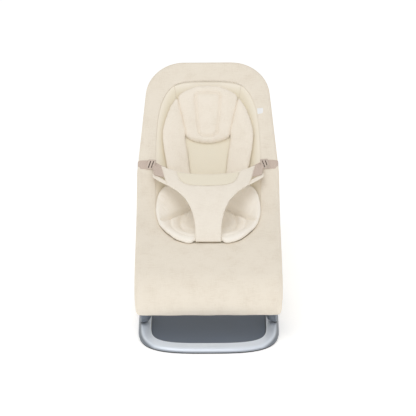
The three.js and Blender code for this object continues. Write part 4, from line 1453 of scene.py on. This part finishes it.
def build_base():
    rim = along_rim("base_rim_shell", RIM_SECTION, rim_line())
    # the rim's silver carries painted shade on its outward-facing wall, a painted dark reflection
    finish_piece(rim, "root", paint_side_shade(SILVER, srgb(112, 119, 127), 0.95), "silver_metal", "base_rim")
    grip = rounded([(-0.0016, 0.0), (0.036, 0.0), (0.036, 0.0035), (-0.0024, 0.0035)], 0.0007, 3)
    front = rim_line()
    front = front[(front[:, 1] < FOOT_Y + 0.098)]
    strip = along_rim("front_grip_strip", grip, front)
    finish_piece(strip, "root", RUBBER, "black_rubber", "front_grip")
    plate = soften("foot_plate", 0.0007)
    widen_plate(plate, 0.0053)
    finish_piece(plate, "root", SLATE, "slate_plastic", "foot_plate")
    x, start, rear, corner, height = 0.181, 0.322 + FOOT_Y, 0.620 + FOOT_Y, 0.100, 0.0125
    turns = np.linspace(0, math.pi / 2, 20)
    right = [(x, y) for y in np.linspace(start, rear - corner, 16)[:-1]]
    right += [(x - corner + corner * math.cos(t), rear - corner + corner * math.sin(t)) for t in turns]
    line = right + [(k, rear) for k in np.linspace(x - corner, corner - x, 14)[1:-1]]
    line += [(-a, b) for a, b in right[::-1]]
    loop = sweep("rear_loop_tube", [(a, b, height) for a, b in line], circle(0.009, 28))
    finish_piece(loop, "root", TUBE_METAL, "silver_metal", "rear_loop")
    for name, side in SIDES:
        finish_piece(soften(f"rim_end_socket_{name}", 0.0014), "root", SLATE, "slate_plastic",
                     f"rim_end_socket_{name}")
        finish_piece(soften(f"rear_foot_{name}", 0.0010), "root", RUBBER, "black_rubber", f"rear_foot_{name}")
        finish_piece(hub_housing(name, side), "root", GREY, "graphite_plastic", f"hub_housing_{name}")
        # a dark ring of painted shadow in the gap under each hub
        finish_piece(hub_shadow_ring(name, side), "root", RUBBER, "black_rubber")
        cover_line = [(0.009, 0.1992), (0.0305, 0.1996), (0.0345, 0.1966), (0.0345, 0.1922), (0.014, 0.1922),
                      (0.014, 0.1966), (0.009, 0.1966)]
        cap = lathe(f"hub_cover_cap_{name}", rounded(cover_line, (0.0008, 0.0045, 0.0035, 0.0008, 0.0004,
                                                                 0.0004, 0.0004), 6), HUB, side)
        finish_piece(cap, "root", GREY, "graphite_plastic", f"hub_cover_{name}")


def build_tubes():
    arm_s = np.linspace(0.027, at_nose(225), 40)
    for name, side in SIDES:
        path = on_sling(arm_s, half_width(arm_s) * side, 0)
        arm = sweep(f"lower_arm_tube_{name}", path, circle(TUBE, 24), up=(1, 0, 0))
        finish_piece(arm, "recline_arms", TUBE_METAL, "silver_metal", f"lower_arm_{name}")
        finish_piece(soften(f"knuckle_{name}", 0.0006, 40), "recline_arms", GRAPHITE, "graphite_plastic",
                     f"knuckle_{name}")
    rows = sling_rows()
    rows = rows[rows > at_nose(SEAT_TUBE_START)]
    right = on_sling(rows, frame_x(rows), 0)
    bar = on_sling(np.full(14, HEAD), np.linspace(CORNER_X, -CORNER_X, 16)[1:-1], 0)
    path = np.vstack([right, bar, on_sling(rows[::-1], -frame_x(rows[::-1]), 0)])
    ahead = np.gradient(path, axis=0)
    ahead /= np.linalg.norm(ahead, axis=1)[:, None]
    place = off_sling(path)
    up = on_sling(place[:, 1], place[:, 0], 1) - on_sling(place[:, 1], place[:, 0], 0)
    tube = sweep("upper_tube", path, circle(TUBE, 24), up=up)
    finish_piece(tube, "seat", TUBE_METAL, "silver_metal", "upper_frame_tube")
    angle = 213
    y, z = NOSE + polar(angle) * NOSE_RADIUS
    end = float(half_width(at_nose(angle))) - TUBE - 0.0008
    bar_line = [(k, y, z) for k in np.linspace(-end, end, 24)]
    crossbar = sweep("front_crossbar_rod", bar_line, circle(0.0055, 20))
    finish_piece(crossbar, "seat", TUBE_METAL, "silver_metal", "front_crossbar")


def build_hub_insides():
    for name, side in SIDES:
        button_line = [(0.0, 0.2005), (0.0050, 0.2004), (0.0087, 0.1996), (0.0087, 0.1955), (0.012, 0.1955),
                       (0.012, 0.1933), (0.0, 0.1933)]
        button = lathe(f"release_button_cap_{name}", rounded(button_line, 0.0008, 4), HUB, side, 56)
        finish_piece(button, f"release_button_{name}", GRAPHITE, "graphite_plastic", f"release_button_{name}")
        turns = np.linspace(0, 2.5 * 2 * math.pi, 76)
        share = turns / turns[-1]
        wire = [(side * (0.1802 + 0.0068 * k), HUB[0] + 0.010 * math.cos(t), HUB[1] + 0.010 * math.sin(t))
                for k, t in zip(share, turns)]
        spring = sweep(f"return_spring_coil_{name}", wire, circle(0.0006, 8))
        finish_piece(spring, "recline_arms", STEEL, "steel", f"return_spring_{name}")
        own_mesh(spring)
        for node, finish in ((f"lock_gear_{name}", GRAPHITE), (f"pivot_bolt_{name}", STEEL)):
            nodes[node].data.materials.clear()
            nodes[node].data.materials.append(finish)
    for index in range(1, 5):
        screw = nodes[f"plate_screw_{index}"]
        screw.data.materials.clear()
        screw.data.materials.append(STEEL)


build_base()
build_tubes()
build_hub_insides()


def white_floor():
    floor = make("floor", [(-9, -9, 0), (9, -9, 0), (9, 9, 0), (-9, 9, 0)], [(0, 1, 2, 3)], smooth=False)
    paper = moulded("studio_floor", srgb(250, 250, 250), 0.9, 0.02, 0.004)
    glow = paper.node_tree.nodes["Principled BSDF"]
    glow.inputs["Emission Color"].default_value = (1, 1, 1, 1)
    glow.inputs["Emission Strength"].default_value = 0.30
    floor.data.materials.append(paper)


white_floor()
